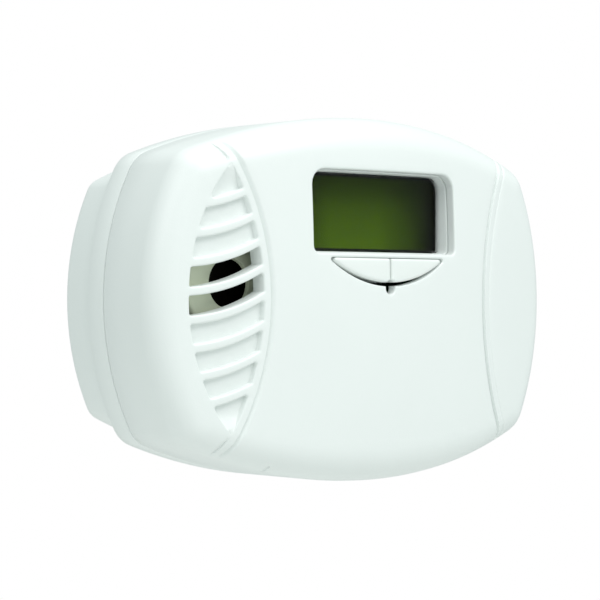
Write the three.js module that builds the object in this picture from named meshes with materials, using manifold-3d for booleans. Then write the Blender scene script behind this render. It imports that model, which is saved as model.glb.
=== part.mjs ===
// Plug-in carbon monoxide detector with a two-cell battery back-up.
//
// Millimetres. The origin is the middle of the wall face, X runs to the right
// seen from the front, Z is up, and the front of the case faces -Y. The mains
// blades leave the wall face towards +Y.

import * as THREE from 'three';
import { mergeVertices } from 'three/addons/utils/BufferGeometryUtils.js';
import Module from 'manifold-3d';

const wasm = await Module();
wasm.setup();

// ---------------------------------------------------------------- sizes

// Case outline: four bowed sides joined by corner arcs
const CASE_WIDTH = 134.6;
const CASE_HEIGHT = 92;
const CASE_TOP_BOW = 11;
const CASE_SIDE_BOW = 9.6;
const CASE_CORNER = 8.7;

// Depths, counted from the wall face
const CASE_DEPTH = 51.6;
const BACK_DEPTH = 14.8;
const FLANGE_DEPTH = 6.8;

// Front face: how far it falls away at the sides, and its rounded edge
const CROWN_SIDE = 9.9;
const CROWN_TOP = 2.1;
const SIDE_ROUND = 5.6;
const TOP_ROUND = 8.3;

// Narrower back of the rear housing
const BACK_STEP = 3.05;
const BACK_TOP_BOW = 13.4;
const BACK_SIDE_BOW = 7.1;
const BACK_CORNER = 5.5;
const BACK_ROUND = 2.5;
const BACK_DRAFT = 0.4;

// Walls and clearances
const WALL = 2.4;
const BACK_WALL = 2.2;
const GAP = 0.3;
const SLIDE_GAP = 0.35;
const LIP_THICKNESS = 1.5;
const LIP_HEIGHT = 3.4;
const FLANGE_EDGE = 0.6;

// Display window, with larger corners at the top
const WINDOW_WIDTH = 48.6;
const WINDOW_BOTTOM = 11.4;
const WINDOW_HEIGHT = 20.8;
const WINDOW_TOP_CORNER = 4;
const WINDOW_LOW_CORNER = 1.7;
const BEZEL_STEP = 0.4;
const BEZEL_WALL = 1.2;
const LENS_RECESS = 7;
const LENS_THICKNESS = 1.2;
const LCD_THICKNESS = 2.8;
const LIGHT_GUIDE_THICKNESS = 3;
const STRIP_HEIGHT = 2;

// Half-moon buttons below the window
const BUTTON_TOP = 10.4;
const BUTTON_LOW = 3.2;
const BUTTON_ARC = 32.1;
const BUTTON_PROUD = 0.25;
const BUTTON_LIP = 1;
const BUTTON_LIP_THICKNESS = 1.2;
const BUTTON_STEM_RADIUS = 1.9;
const BUTTON_STEM_X = 10.5;
const BUTTON_STEM_Z = 6.8;
const BUTTON_TRAVEL = 0.5;
const INDICATOR_RADIUS = 1.6;
const INDICATOR_Z = 2.8;
const LIGHT_PIPE_RECESS = 3;
const LED_HEIGHT = 4;

// Grille: a pointed oval with eight curved bars, beside a bead that
// crosses the front on each side
const BEAD_FROM_SIDE = 30.4;
const BEAD_ARC = 71.6;
const BEAD_WIDTH = 1.8;
const GROOVE_WIDTH = 1.1;
const GROOVE_DEPTH = 0.55;
const GRILLE_FROM_SIDE = 8.9;
const GRILLE_HALF_HEIGHT = 32.8;
const GRILLE_DEPTH = 4.2;
const GRILLE_PAD = 1.4;
const SLOT_DEPTH = 1.6;
const BAR_COUNT = 8;
const BAR_PITCH = 6.82;
const BAR_WIDTH = 2.1;
const BAR_ARC = 44;
const BAR_TILT_OFFSET = 13.1;
const BAR_TOP_Z = 24.1;
const OPEN_BETWEEN = [3, 5];

// Pry notch in the lower edge of the front
const NOTCH_X = -34;
const NOTCH_WIDTH = 5.5;
const NOTCH_RECESS = 6.5;
const NOTCH_HEIGHT = 4.5;
const NOTCH_DEPTH = 1.2;

// Horn
const HORN_FROM_SIDE = 24.8;
const HORN_Z = 3.8;
const HORN_RADIUS = 13.6;
const HORN_PORT_RADIUS = 6;
const HORN_RECESS = 12.1;
const HORN_PORT_EDGE = 0.5;
const HORN_WALL = 1.2;
const HORN_EDGE = 1.2;
const HORN_LEDGE = 1.2;
const HORN_DISC_RECESS = 3.3;
const HORN_DISC_CLEARANCE = 0.6;
const HORN_DISC_THICKNESS = 0.5;
const HORN_CONTACT_RADIUS = 0.5;
const HORN_CONTACT_SPREAD = 7;

// Circuit board
const BOARD_RECESS = 20.6;
const BOARD_THICKNESS = 1.6;
const BOARD_SIDE_MARGIN = 10.3;
const BOARD_TOP_MARGIN = 15;
const BOARD_POST_RADIUS = 2.6;
const BOARD_SCREW_X = 40;
const BOARD_SCREW_Z = 26;
const PART_EDGE = 0.6;

// Parts on the board: the first six are placed from its right-hand edge
const FILM_CAPACITOR = { width: 17, height: 8, tall: 10, fromEdge: 15, z: 14 };
const RESERVOIR_CAPACITOR = { radius: 5, tall: 11, fromEdge: 16, z: -2 };
const FILTER_CAPACITOR = { radius: 3.2, tall: 8, fromEdge: 21, z: -19.5 };
const VARISTOR = { radius: 4.6, thickness: 3.6, axisTall: 5, fromEdge: 5, z: 1 };
const FUSE_RESISTOR = { radius: 1.8, halfLength: 4.5, axisTall: 2.2, fromEdge: 9, z: -13 };
const RECTIFIER = { width: 8, height: 5, tall: 2.6, fromEdge: 8, z: -18.4 };
const MICROCONTROLLER = { width: 11, height: 11, tall: 1.7, x: -8, z: -14 };
const PIEZO_DRIVER = { width: 5, height: 4, tall: 1.6, x: -26, z: -17 };

// Screws
const CASE_SCREW_INSET_X = 18.5;
const CASE_SCREW_INSET_Z = 20.5;
const CASE_SCREW_RADIUS = 1.5;
const CASE_SCREW_HEAD = 2.8;
const CASE_SCREW_LENGTH = 18;
const CASE_BOSS_RADIUS = 5;
const CASE_BOSS_TOP = 18;
const CASE_BOSS_SEAT = 5;
const COVER_BOSS_RADIUS = 4.2;
const SMALL_SCREW_RADIUS = 1.1;
const SMALL_SCREW_HEAD = 2.1;
const SMALL_SCREW_HEAD_HEIGHT = 1.4;
const SMALL_SCREW_LENGTH = 6;
const SCREW_CLEARANCE = 0.45;

// Push switches
const SWITCH_SIZE = 6;
const SWITCH_HEIGHT = 3.5;
const PLUNGER_RADIUS = 1.7;
const PLUNGER_HEIGHT = 3.5;
const PLUNGER_DEPTH = 0.8;

// Gas sensor
const SENSOR_X = 18;
const SENSOR_Z = -16;
const SENSOR_RADIUS = 9.5;
const SENSOR_HEIGHT = 11;
const SENSOR_FILTER_RADIUS = 6;
const SENSOR_FILTER_THICKNESS = 1;

// Cells and their bay
const CELL_RADIUS = 7.1;
const CELL_LENGTH = 50.5;
const CELL_NUB_RADIUS = 2.7;
const CELL_NUB_LENGTH = 1.2;
const CELL_SIDE_GAP = 1;
const SPRING_LENGTH = 4.6;
const SPRING_RADIUS = 3.2;
const SPRING_WIRE = 0.45;
const SPRING_TURNS = 3;
const CONTACT_THICKNESS = 0.4;
const CONTACT_HALF_WIDTH = 5;
const CONTACT_TAB_HALF_WIDTH = 2;
const CONTACT_TAB_SHARE = 0.398;
const BAY_WALL = 1.6;
const BAY_ABOVE_EDGE = 6.65;

// Battery door
const DOOR_THICKNESS = 2;
const DOOR_RECESS = 0.35;
const DOOR_AXIS_DEPTH = 2.2;
const DOOR_AXIS_RISE = 2.3;
const DOOR_BARREL = 1.5;
const DOOR_HEEL = 1;
const DOOR_TOP_GAP = 0.455;
const DOOR_PIN_RADIUS = 1.1;
const DOOR_PIN_LENGTH = 1.4;
const DOOR_PIN_CLEARANCE = 0.2;
const DOOR_TONGUE_WIDTH = 14;
const DOOR_TONGUE_LENGTH = 3.6;
const DOOR_TONGUE_THICKNESS = 1;
const THUMB_RADIUS = 8;
const THUMB_RISE = 2.6;
const THUMB_DEPTH = 1;

// Mains blades
const BLADE_SPREAD = 12.7;
const BLADE_Z = 14;
const BLADE_THICKNESS = 1.5;
const LINE_BLADE_WIDTH = 6.35;
const NEUTRAL_BLADE_WIDTH = 7.94;
const BLADE_REACH = 17;
const BLADE_TAB = 16.5;
const BLADE_TIP = 1.2;
const CARRIER_HALF_WIDTH = 13;
const CARRIER_HALF_HEIGHT = 8;
const CARRIER_DEPTH = 11;
const CARRIER_SCREW_X = 17;
const CARRIER_EAR = 3;
const CARRIER_EAR_THICKNESS = 2;
const CARRIER_BOSS_HEIGHT = 4.8;
const CARRIER_BOSS_RADIUS = 2.8;

// Leads, and where they meet the back of the board
const WIRE_RADIUS = 0.8;
const LINE_PAD_FROM_EDGE = 24;
const LINE_PAD_Z = 17;
const NEUTRAL_PAD_FROM_EDGE = 29;
const NEUTRAL_PAD_Z = 23;
const CELL_PAD_OUT = 3.2;
const CELL_PAD_RISE = 5;

// ------------------------------------------------------- derived places

const HALF_WIDTH = CASE_WIDTH / 2;
const HALF_HEIGHT = CASE_HEIGHT / 2;
const FRONT_Y = -CASE_DEPTH;
const FLANGE_Y = -BACK_DEPTH;
const SEAM_Y = FLANGE_Y - FLANGE_DEPTH;
const RIM_Y = SEAM_Y - GAP;
const BOARD_FRONT_Y = FRONT_Y + BOARD_RECESS;
const BOARD_BACK_Y = BOARD_FRONT_Y + BOARD_THICKNESS;
const PARTS_Y = BOARD_FRONT_Y - GAP;
const BOARD_HALF_WIDTH = HALF_WIDTH - BOARD_SIDE_MARGIN;
const BOARD_HALF_HEIGHT = HALF_HEIGHT - BOARD_TOP_MARGIN;
const CASE_SCREW_X = HALF_WIDTH - CASE_SCREW_INSET_X;
const CASE_SCREW_Z = HALF_HEIGHT - CASE_SCREW_INSET_Z;
const CASE_SCREW_SEAT_Y = CASE_BOSS_SEAT - CASE_BOSS_TOP;
const WINDOW_TOP = WINDOW_BOTTOM + WINDOW_HEIGHT;
const LENS_Y = FRONT_Y + LENS_RECESS;
const HORN_X = HORN_FROM_SIDE - HALF_WIDTH;
const HORN_Y = FRONT_Y + HORN_RECESS;
const BEAD_X = BEAD_FROM_SIDE - HALF_WIDTH;
const BEAD_CENTRE = BEAD_X - BEAD_ARC;
const GRILLE_LEFT = GRILLE_FROM_SIDE - HALF_WIDTH;
const GRILLE_MIDDLE = (GRILLE_LEFT + BEAD_X) / 2;
const SWITCH_Y = PARTS_Y - SWITCH_HEIGHT;
const PLUNGER_Y = SWITCH_Y - PLUNGER_HEIGHT + PLUNGER_DEPTH;
const STEM_Y = PLUNGER_Y - GAP;

const BAY_LOW = BACK_STEP + BAY_ABOVE_EDGE - HALF_HEIGHT;
const BAY_HALF_LENGTH = (CELL_LENGTH + SPRING_LENGTH) / 2 + CONTACT_THICKNESS + 3 * GAP;
const CELL_PITCH = 2 * CELL_RADIUS + CELL_SIDE_GAP;
const BAY_HIGH = BAY_LOW + CELL_PITCH + 2 * CELL_RADIUS + 2 * CELL_SIDE_GAP;
const CELL_LOW_Z = BAY_LOW + CELL_SIDE_GAP + CELL_RADIUS;
const CELL_HIGH_Z = CELL_LOW_Z + CELL_PITCH;
const CELL_Y = -(DOOR_RECESS + DOOR_THICKNESS + 3 * GAP + CELL_RADIUS);
const BAY_FLOOR_Y = CELL_Y - CELL_RADIUS - GAP;
const BAY_OUTER_Y = BAY_FLOOR_Y - BAY_WALL;
const CONTACT_TAB_END_Y = BAY_OUTER_Y - (BAY_OUTER_Y - BOARD_BACK_Y) * CONTACT_TAB_SHARE;
const CONTACT_X = BAY_HALF_LENGTH - GAP - CONTACT_THICKNESS;
const CELL_NUB_X = CONTACT_X - GAP;
const CELL_BASE_X = CELL_NUB_X - CELL_LENGTH;
const DOOR_AXIS_Z = BAY_LOW + DOOR_AXIS_RISE;
const BLADE_X = BLADE_SPREAD / 2;

// ------------------------------------------------------------- finishes

const finish = (color, roughness, metalness = 0) => ({ color, roughness, metalness });

const WHITE_ABS = finish(0xecf1ec, 0.42);
const WHITE_BUTTON = finish(0xf4f6f4, 0.3);
const CREAM_PLASTIC = finish(0xd8dccb, 0.5);
const BLACK_PLASTIC = finish(0x16181a, 0.5);
const CLEAR_PLASTIC = finish(0xdfe8e4, 0.1);
const LCD_GREEN = finish(0x3d4d1e, 0.2);
const BOARD_GREEN = finish(0x1f5a36, 0.5);
const NICKEL = finish(0xb9bcbd, 0.3, 1);
const BRASS = finish(0xc9a85a, 0.3, 1);
const STEEL = finish(0x9a9ea1, 0.35, 1);
const GREY_RUBBER = finish(0x5c6063, 0.8);
const CELL_SLEEVE = finish(0x3a5a78, 0.35);
const RED_LEAD = finish(0xa3201c, 0.5);
const BLACK_LEAD = finish(0x1b1c1e, 0.5);
const WHITE_LEAD = finish(0xdadbd6, 0.5);
const CAPACITOR_BLUE = finish(0x25477a, 0.4);
const CAPACITOR_YELLOW = finish(0xc8a23a, 0.5);

// ---------------------------------------------------- solids and meshes

function signedVolume(positions, faces) {
  let sum = 0;
  const corner = [new THREE.Vector3(), new THREE.Vector3(), new THREE.Vector3()];
  for (let i = 0; i < faces.length; i += 3) {
    corner.forEach((point, k) => point.fromArray(positions, 3 * faces[i + k]));
    sum += corner[0].dot(corner[1].cross(corner[2]));
  }
  return sum;
}

// Turns a closed three.js geometry into a solid that faces outwards.
function solid(geometry) {
  geometry.deleteAttribute('normal');
  geometry.deleteAttribute('uv');
  const merged = mergeVertices(geometry, 1e-4);
  const positions = merged.attributes.position.array;
  const index = merged.index.array;
  const faces = [];
  for (let i = 0; i < index.length; i += 3) {
    const [a, b, c] = index.slice(i, i + 3);
    if (a !== b && b !== c && c !== a) faces.push(a, b, c);
  }
  if (signedVolume(positions, faces) < 0) faces.reverse();
  return new wasm.Manifold(new wasm.Mesh({
    numProp: 3,
    vertProperties: Float32Array.from(positions),
    triVerts: Uint32Array.from(faces),
  }));
}

const joined = (solids) => solids.reduce((whole, next) => whole.add(next));

const detector = new THREE.Group();

function place(name, body, look, position = [0, 0, 0], rotation = [0, 0, 0], parent = detector) {
  const { vertProperties, triVerts } = body.getMesh();
  const geometry = new THREE.BufferGeometry();
  geometry.setAttribute('position', new THREE.BufferAttribute(vertProperties, 3));
  geometry.setIndex(new THREE.BufferAttribute(triVerts, 1));
  geometry.computeVertexNormals();
  const mesh = new THREE.Mesh(geometry, new THREE.MeshStandardMaterial(look));
  mesh.name = name;
  mesh.position.set(...position);
  mesh.rotation.set(...rotation);
  parent.add(mesh);
}

// A straight-sided block between a back plane and a front plane, from an
// outline drawn in X and Z.
function prism(outline, backY, frontY, curveSegments = 12) {
  const depth = backY - frontY;
  const geometry = new THREE.ExtrudeGeometry(outline, { depth, curveSegments, bevelEnabled: false });
  geometry.rotateX(Math.PI / 2);
  geometry.translate(0, backY, 0);
  return solid(geometry);
}

// An outline drawn in Y and Z, extruded along X.
function plate(outline, lowX, highX, curveSegments = 8) {
  const depth = highX - lowX;
  const geometry = new THREE.ExtrudeGeometry(outline, { depth, curveSegments, bevelEnabled: false });
  geometry.applyMatrix4(new THREE.Matrix4().set(
    0, 0, 1, lowX,
    1, 0, 0, 0,
    0, 1, 0, 0,
    0, 0, 0, 1,
  ));
  return solid(geometry);
}

function block([lowX, highX], [lowY, highY], [lowZ, highZ]) {
  const geometry = new THREE.BoxGeometry(highX - lowX, highY - lowY, highZ - lowZ);
  geometry.translate((lowX + highX) / 2, (lowY + highY) / 2, (lowZ + highZ) / 2);
  return solid(geometry);
}

// A round bar along Y.
function rod(radius, [lowY, highY], x = 0, z = 0, sides = 20) {
  const geometry = new THREE.CylinderGeometry(radius, radius, highY - lowY, sides);
  geometry.translate(x, (lowY + highY) / 2, z);
  return solid(geometry);
}

// A round bar along X.
function crossRod(radius, [lowX, highX], y, z, sides = 16) {
  const geometry = new THREE.CylinderGeometry(radius, radius, highX - lowX, sides);
  geometry.rotateZ(Math.PI / 2);
  geometry.translate((lowX + highX) / 2, y, z);
  return solid(geometry);
}

// A turned piece on the Y axis, from [radius, y] pairs.
function turned(profile, sides = 24) {
  const points = profile.map(([radius, y]) => new THREE.Vector2(radius, y));
  return solid(new THREE.LatheGeometry(points, sides));
}

function polygon(points) {
  return new THREE.Shape(points.map(([u, v]) => new THREE.Vector2(u, v)));
}

// -------------------------------------------------------- case outlines

const SIDE_STEPS = 4;
const CORNER_STEPS = 3;
const TOP_STEPS = 6;

// Four bowed sides joined by corner arcs. Each sample holds its own arc, so
// an inset outline keeps the same samples with shorter radii.
function bowedOutline(width, height, topBow, sideBow, corner) {
  const a = width / 2;
  const b = height / 2;
  const topRadius = ((a - sideBow) ** 2 + topBow ** 2) / (2 * topBow);
  const sideRadius = ((b - topBow) ** 2 + sideBow ** 2) / (2 * sideBow);
  const top = new THREE.Vector2(0, b - topRadius);
  const side = new THREE.Vector2(a - sideRadius, 0);
  const along = side.clone().sub(top);
  const distance = along.length();
  along.normalize();
  const toTop = topRadius - corner;
  const toSide = sideRadius - corner;
  const reach = (distance ** 2 + toTop ** 2 - toSide ** 2) / (2 * distance);
  const across = Math.sqrt(toTop ** 2 - reach ** 2);
  const middle = top.clone().addScaledVector(along, reach);
  middle.add(new THREE.Vector2(along.y, -along.x).multiplyScalar(across));
  const sideEnd = middle.clone().sub(side).angle();
  const topStart = middle.clone().sub(top).angle();
  const quarter = [];
  const addArc = (centre, radius, from, to, steps) => {
    for (let k = 0; k < steps; k += 1) {
      quarter.push({ centre, radius, angle: from + ((to - from) * k) / steps });
    }
  };
  addArc(side, sideRadius, 0, sideEnd, SIDE_STEPS);
  addArc(middle, corner, sideEnd, topStart, CORNER_STEPS);
  addArc(top, topRadius, topStart, Math.PI / 2, TOP_STEPS);
  const samples = [];
  for (let turn = 0; turn < 4; turn += 1) {
    const mirrorX = turn === 1 || turn === 2 ? -1 : 1;
    const mirrorZ = turn >= 2 ? -1 : 1;
    const ends = { centre: top, radius: topRadius, angle: Math.PI / 2 };
    const forward = turn % 2 === 0;
    const run = forward ? quarter : [ends, ...quarter.slice(1).reverse()];
    run.forEach(({ centre, radius, angle }) => samples.push((inset) => new THREE.Vector2(
      mirrorX * (centre.x + (radius - inset) * Math.cos(angle)),
      mirrorZ * (centre.y + (radius - inset) * Math.sin(angle)),
    )));
  }
  return samples;
}

const caseOutline = bowedOutline(CASE_WIDTH, CASE_HEIGHT, CASE_TOP_BOW, CASE_SIDE_BOW, CASE_CORNER);
const backOutline = bowedOutline(
  CASE_WIDTH - 2 * BACK_STEP,
  CASE_HEIGHT - 2 * BACK_STEP,
  BACK_TOP_BOW,
  BACK_SIDE_BOW,
  BACK_CORNER,
);

// Stretches a lathe over an outline: ring(k) gives the k-th sample's point.
function stretched(rings) {
  const sides = caseOutline.length;
  const geometry = new THREE.LatheGeometry(rings.map((ring, j) => new THREE.Vector2(1, j)), sides);
  const position = geometry.attributes.position;
  for (let i = 0; i <= sides; i += 1) {
    rings.forEach((ring, j) => {
      position.setXYZ(i * rings.length + j, ...ring(i % sides));
    });
  }
  return solid(geometry);
}

const onAxis = (y) => () => [0, y, 0];

const level = (outline, inset, y, share = 1) => (k) => {
  const point = outline[k](inset);
  return [point.x * share, y, point.y * share];
};

const frontAt = (x, z) => (
  FRONT_Y + CROWN_SIDE * (x / HALF_WIDTH) ** 2 + CROWN_TOP * (z / HALF_HEIGHT) ** 2
);

// Radius of the rounded edge: tight at the sides, fuller along the top.
function edgeRound(k) {
  const outer = caseOutline[k](0);
  const normal = outer.clone().sub(caseOutline[k](1));
  const middle = Math.max(0, 1 - (outer.x / HALF_WIDTH) ** 2);
  return SIDE_ROUND + (TOP_ROUND - SIDE_ROUND) * normal.y ** 2 * middle;
}

// A ring on the front of the case, sunk below its surface. The turn runs
// from 0 on the side wall to a right angle on the face.
const frontRing = (sunk, turn, share = 1) => (k) => {
  const radius = Math.max(edgeRound(k) - sunk, 1);
  const point = caseOutline[k](sunk + radius * (1 - Math.cos(turn))).multiplyScalar(share);
  return [point.x, frontAt(point.x, point.y) + sunk + radius * (1 - Math.sin(turn)), point.y];
};

const FACE = Math.PI / 2;
const FACE_SHARES = [0.3, 0.56, 0.79];

const frontRings = (sunk, edgeSteps = 4) => [
  onAxis(FRONT_Y + sunk),
  ...FACE_SHARES.map((share) => frontRing(sunk, FACE, share)),
  ...Array.from({ length: edgeSteps + 1 }, (unused, k) => (
    frontRing(sunk, FACE * (1 - k / edgeSteps))
  )),
];

// The whole front of the case as one full solid, sunk below its surface.
function caseFront(sunk) {
  return stretched([...frontRings(sunk), level(caseOutline, sunk, RIM_Y), onAxis(RIM_Y)]);
}

// ----------------------------------------------------------- case parts

const SIGNS = [-1, 1];
const corners = (x, z) => SIGNS.flatMap((h) => SIGNS.map((v) => [h * x, v * z]));

function windowOutline(inset) {
  const side = WINDOW_WIDTH / 2 - inset;
  const low = WINDOW_BOTTOM + inset;
  const high = WINDOW_TOP - inset;
  const round = WINDOW_TOP_CORNER - inset;
  const lowRound = Math.max(WINDOW_LOW_CORNER - inset, 0.4);
  const shape = new THREE.Shape();
  shape.absarc(side - round, high - round, round, 0, FACE, false);
  shape.absarc(round - side, high - round, round, FACE, 2 * FACE, false);
  shape.absarc(lowRound - side, low + lowRound, lowRound, 2 * FACE, 3 * FACE, false);
  shape.absarc(side - lowRound, low + lowRound, lowRound, 3 * FACE, 4 * FACE, false);
  return shape;
}

// The half-moon opening, or one half of it from a start beside its middle.
function moonOutline(inset, startX = null) {
  const centre = BUTTON_LOW + BUTTON_ARC;
  const radius = BUTTON_ARC - inset;
  const top = BUTTON_TOP - Math.max(inset, 0);
  const half = Math.acos((centre - top) / radius);
  const from = startX === null ? -half : Math.asin(startX / radius);
  const shape = new THREE.Shape();
  shape.absarc(0, centre, radius, from - FACE, half - FACE, false);
  if (startX !== null) shape.lineTo(startX, top);
  return shape;
}

function pointedOval(grow) {
  const rightArc = BEAD_ARC - BEAD_WIDTH + grow;
  const apexX = BEAD_CENTRE + Math.sqrt((BEAD_ARC - BEAD_WIDTH) ** 2 - GRILLE_HALF_HEIGHT ** 2);
  const sagitta = apexX - GRILLE_LEFT;
  const leftArc = (GRILLE_HALF_HEIGHT ** 2 + sagitta ** 2) / (2 * sagitta);
  const leftCentre = GRILLE_LEFT + leftArc;
  const half = GRILLE_HALF_HEIGHT + grow;
  const rightTurn = Math.asin(half / rightArc);
  const leftTurn = Math.asin(half / (leftArc + grow));
  const shape = new THREE.Shape();
  shape.absarc(BEAD_CENTRE, 0, rightArc, -rightTurn, rightTurn, false);
  shape.absarc(leftCentre, 0, leftArc + grow, Math.PI - leftTurn, Math.PI + leftTurn, false);
  return shape;
}

const BAR_REACH = [-0.12, 0.72];

const barCentreZ = (index) => {
  const drop = Math.sqrt(BAR_ARC ** 2 - BAR_TILT_OFFSET ** 2);
  return BAR_TOP_Z - BAR_PITCH * (index - 1) + drop;
};

// The strip between two bar lines, counted from 1 at the top. Each edge is
// moved down by its own shift.
function barStrip(upper, lower, upperShift, lowerShift) {
  const x = GRILLE_MIDDLE - BAR_TILT_OFFSET;
  const [from, to] = BAR_REACH.map((turn) => turn - FACE);
  const shape = new THREE.Shape();
  shape.absarc(x, barCentreZ(lower) - lowerShift, BAR_ARC, from, to, false);
  shape.absarc(x, barCentreZ(upper) - upperShift, BAR_ARC, to, from, true);
  return shape;
}

// Everything that is sunk into or cut through the grille.
function grilleCuts() {
  const depth = [RIM_Y, FRONT_Y - 1];
  let openings = prism(pointedOval(0), ...depth, 14);
  for (let bar = 1; bar <= BAR_COUNT; bar += 1) {
    const half = BAR_WIDTH / 2;
    openings = openings.subtract(prism(barStrip(bar, bar, -half, half), ...depth, 6));
  }
  const [first, last] = OPEN_BETWEEN;
  const through = prism(barStrip(first, last, 0, 0), ...depth, 6);
  const blind = openings.subtract(through).subtract(caseFront(SLOT_DEPTH));
  return blind.add(openings.intersect(through));
}

// The two grooves that set off the side panels from the middle one.
function sideGrooves() {
  const turn = Math.asin((HALF_HEIGHT - TOP_ROUND) / BEAD_ARC);
  const steps = 10;
  const shape = new THREE.Shape();
  shape.absarc(BEAD_CENTRE, 0, BEAD_ARC + GROOVE_WIDTH, -turn, turn, false);
  shape.absarc(BEAD_CENTRE, 0, BEAD_ARC, turn, -turn, true);
  const depth = [RIM_Y, FRONT_Y - 1];
  const left = prism(shape, ...depth, steps);
  const mirrored = polygon(shape.getPoints(steps).map((point) => [-point.x, point.y]));
  return left.add(prism(mirrored, ...depth)).subtract(caseFront(GROOVE_DEPTH));
}

function pryNotch() {
  const front = FRONT_Y + NOTCH_RECESS;
  return block(
    [NOTCH_X - NOTCH_WIDTH / 2, NOTCH_X + NOTCH_WIDTH / 2],
    [front, front + NOTCH_HEIGHT],
    [-CASE_HEIGHT, 0],
  ).subtract(caseFront(NOTCH_DEPTH));
}

function frontCover() {
  const inside = frontRings(WALL, 2).reverse();
  const shell = stretched([
    ...frontRings(0),
    level(caseOutline, 0, RIM_Y),
    level(caseOutline, WALL, RIM_Y),
    ...inside,
  ]);
  const pad = prism(pointedOval(GRILLE_PAD), HORN_Y - GAP, FRONT_Y, 10)
    .intersect(caseFront(WALL / 2))
    .subtract(caseFront(GRILLE_DEPTH));
  const parts = [shell, pad];
  const holes = [grilleCuts(), sideGrooves(), pryNotch()];
  const bossY = -CASE_BOSS_TOP - GAP;
  for (const [x, z] of corners(CASE_SCREW_X, CASE_SCREW_Z)) {
    parts.push(rod(COVER_BOSS_RADIUS, [frontAt(x, z) + WALL / 2, bossY], x, z, 14));
    const pilotEnd = CASE_SCREW_SEAT_Y - CASE_SCREW_LENGTH - 1;
    holes.push(rod(CASE_SCREW_RADIUS + SCREW_CLEARANCE, [pilotEnd, bossY + 1], x, z, 8));
  }
  for (const [x, z] of corners(BOARD_SCREW_X, BOARD_SCREW_Z)) {
    parts.push(rod(BOARD_POST_RADIUS, [frontAt(x, z) + WALL / 2, PARTS_Y], x, z, 10));
    const pilotEnd = BOARD_BACK_Y - SMALL_SCREW_LENGTH - 1;
    holes.push(rod(SMALL_SCREW_RADIUS + SCREW_CLEARANCE, [pilotEnd, PARTS_Y + 1], x, z, 8));
  }
  const through = [BOARD_FRONT_Y, FRONT_Y - 1];
  holes.push(prism(windowOutline(0), ...through, 4));
  holes.push(prism(moonOutline(0), ...through, 16));
  holes.push(rod(INDICATOR_RADIUS, [FRONT_Y - 1, BOARD_FRONT_Y], 0, INDICATOR_Z, 16));
  return joined(parts).subtract(joined(holes));
}

// The rear housing's shell: the narrower back, the flange behind the seam
// and the lip that enters the cover.
function backShell() {
  const lip = WALL + GAP;
  const lipTop = SEAM_Y - LIP_HEIGHT;
  const flangeFloor = FLANGE_Y - BACK_WALL;
  const rounded = [0, 0.5, 1].map((part) => {
    const turn = part * FACE;
    const inset = BACK_DRAFT + BACK_ROUND * (1 - Math.sin(turn));
    return level(backOutline, inset, -BACK_ROUND * (1 - Math.cos(turn)));
  });
  return stretched([
    onAxis(0),
    level(backOutline, BACK_ROUND, 0, 0.5),
    ...rounded,
    level(backOutline, 0, FLANGE_Y),
    level(caseOutline, FLANGE_EDGE, FLANGE_Y),
    level(caseOutline, 0, FLANGE_Y - FLANGE_EDGE),
    level(caseOutline, 0, SEAM_Y),
    level(caseOutline, lip, SEAM_Y),
    level(caseOutline, lip, lipTop),
    level(caseOutline, lip + LIP_THICKNESS, lipTop),
    level(caseOutline, lip + LIP_THICKNESS, flangeFloor),
    level(backOutline, BACK_WALL, flangeFloor),
    level(backOutline, BACK_WALL, -BACK_WALL),
    level(backOutline, BACK_WALL, -BACK_WALL, 0.5),
    onAxis(-BACK_WALL),
  ]);
}

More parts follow.
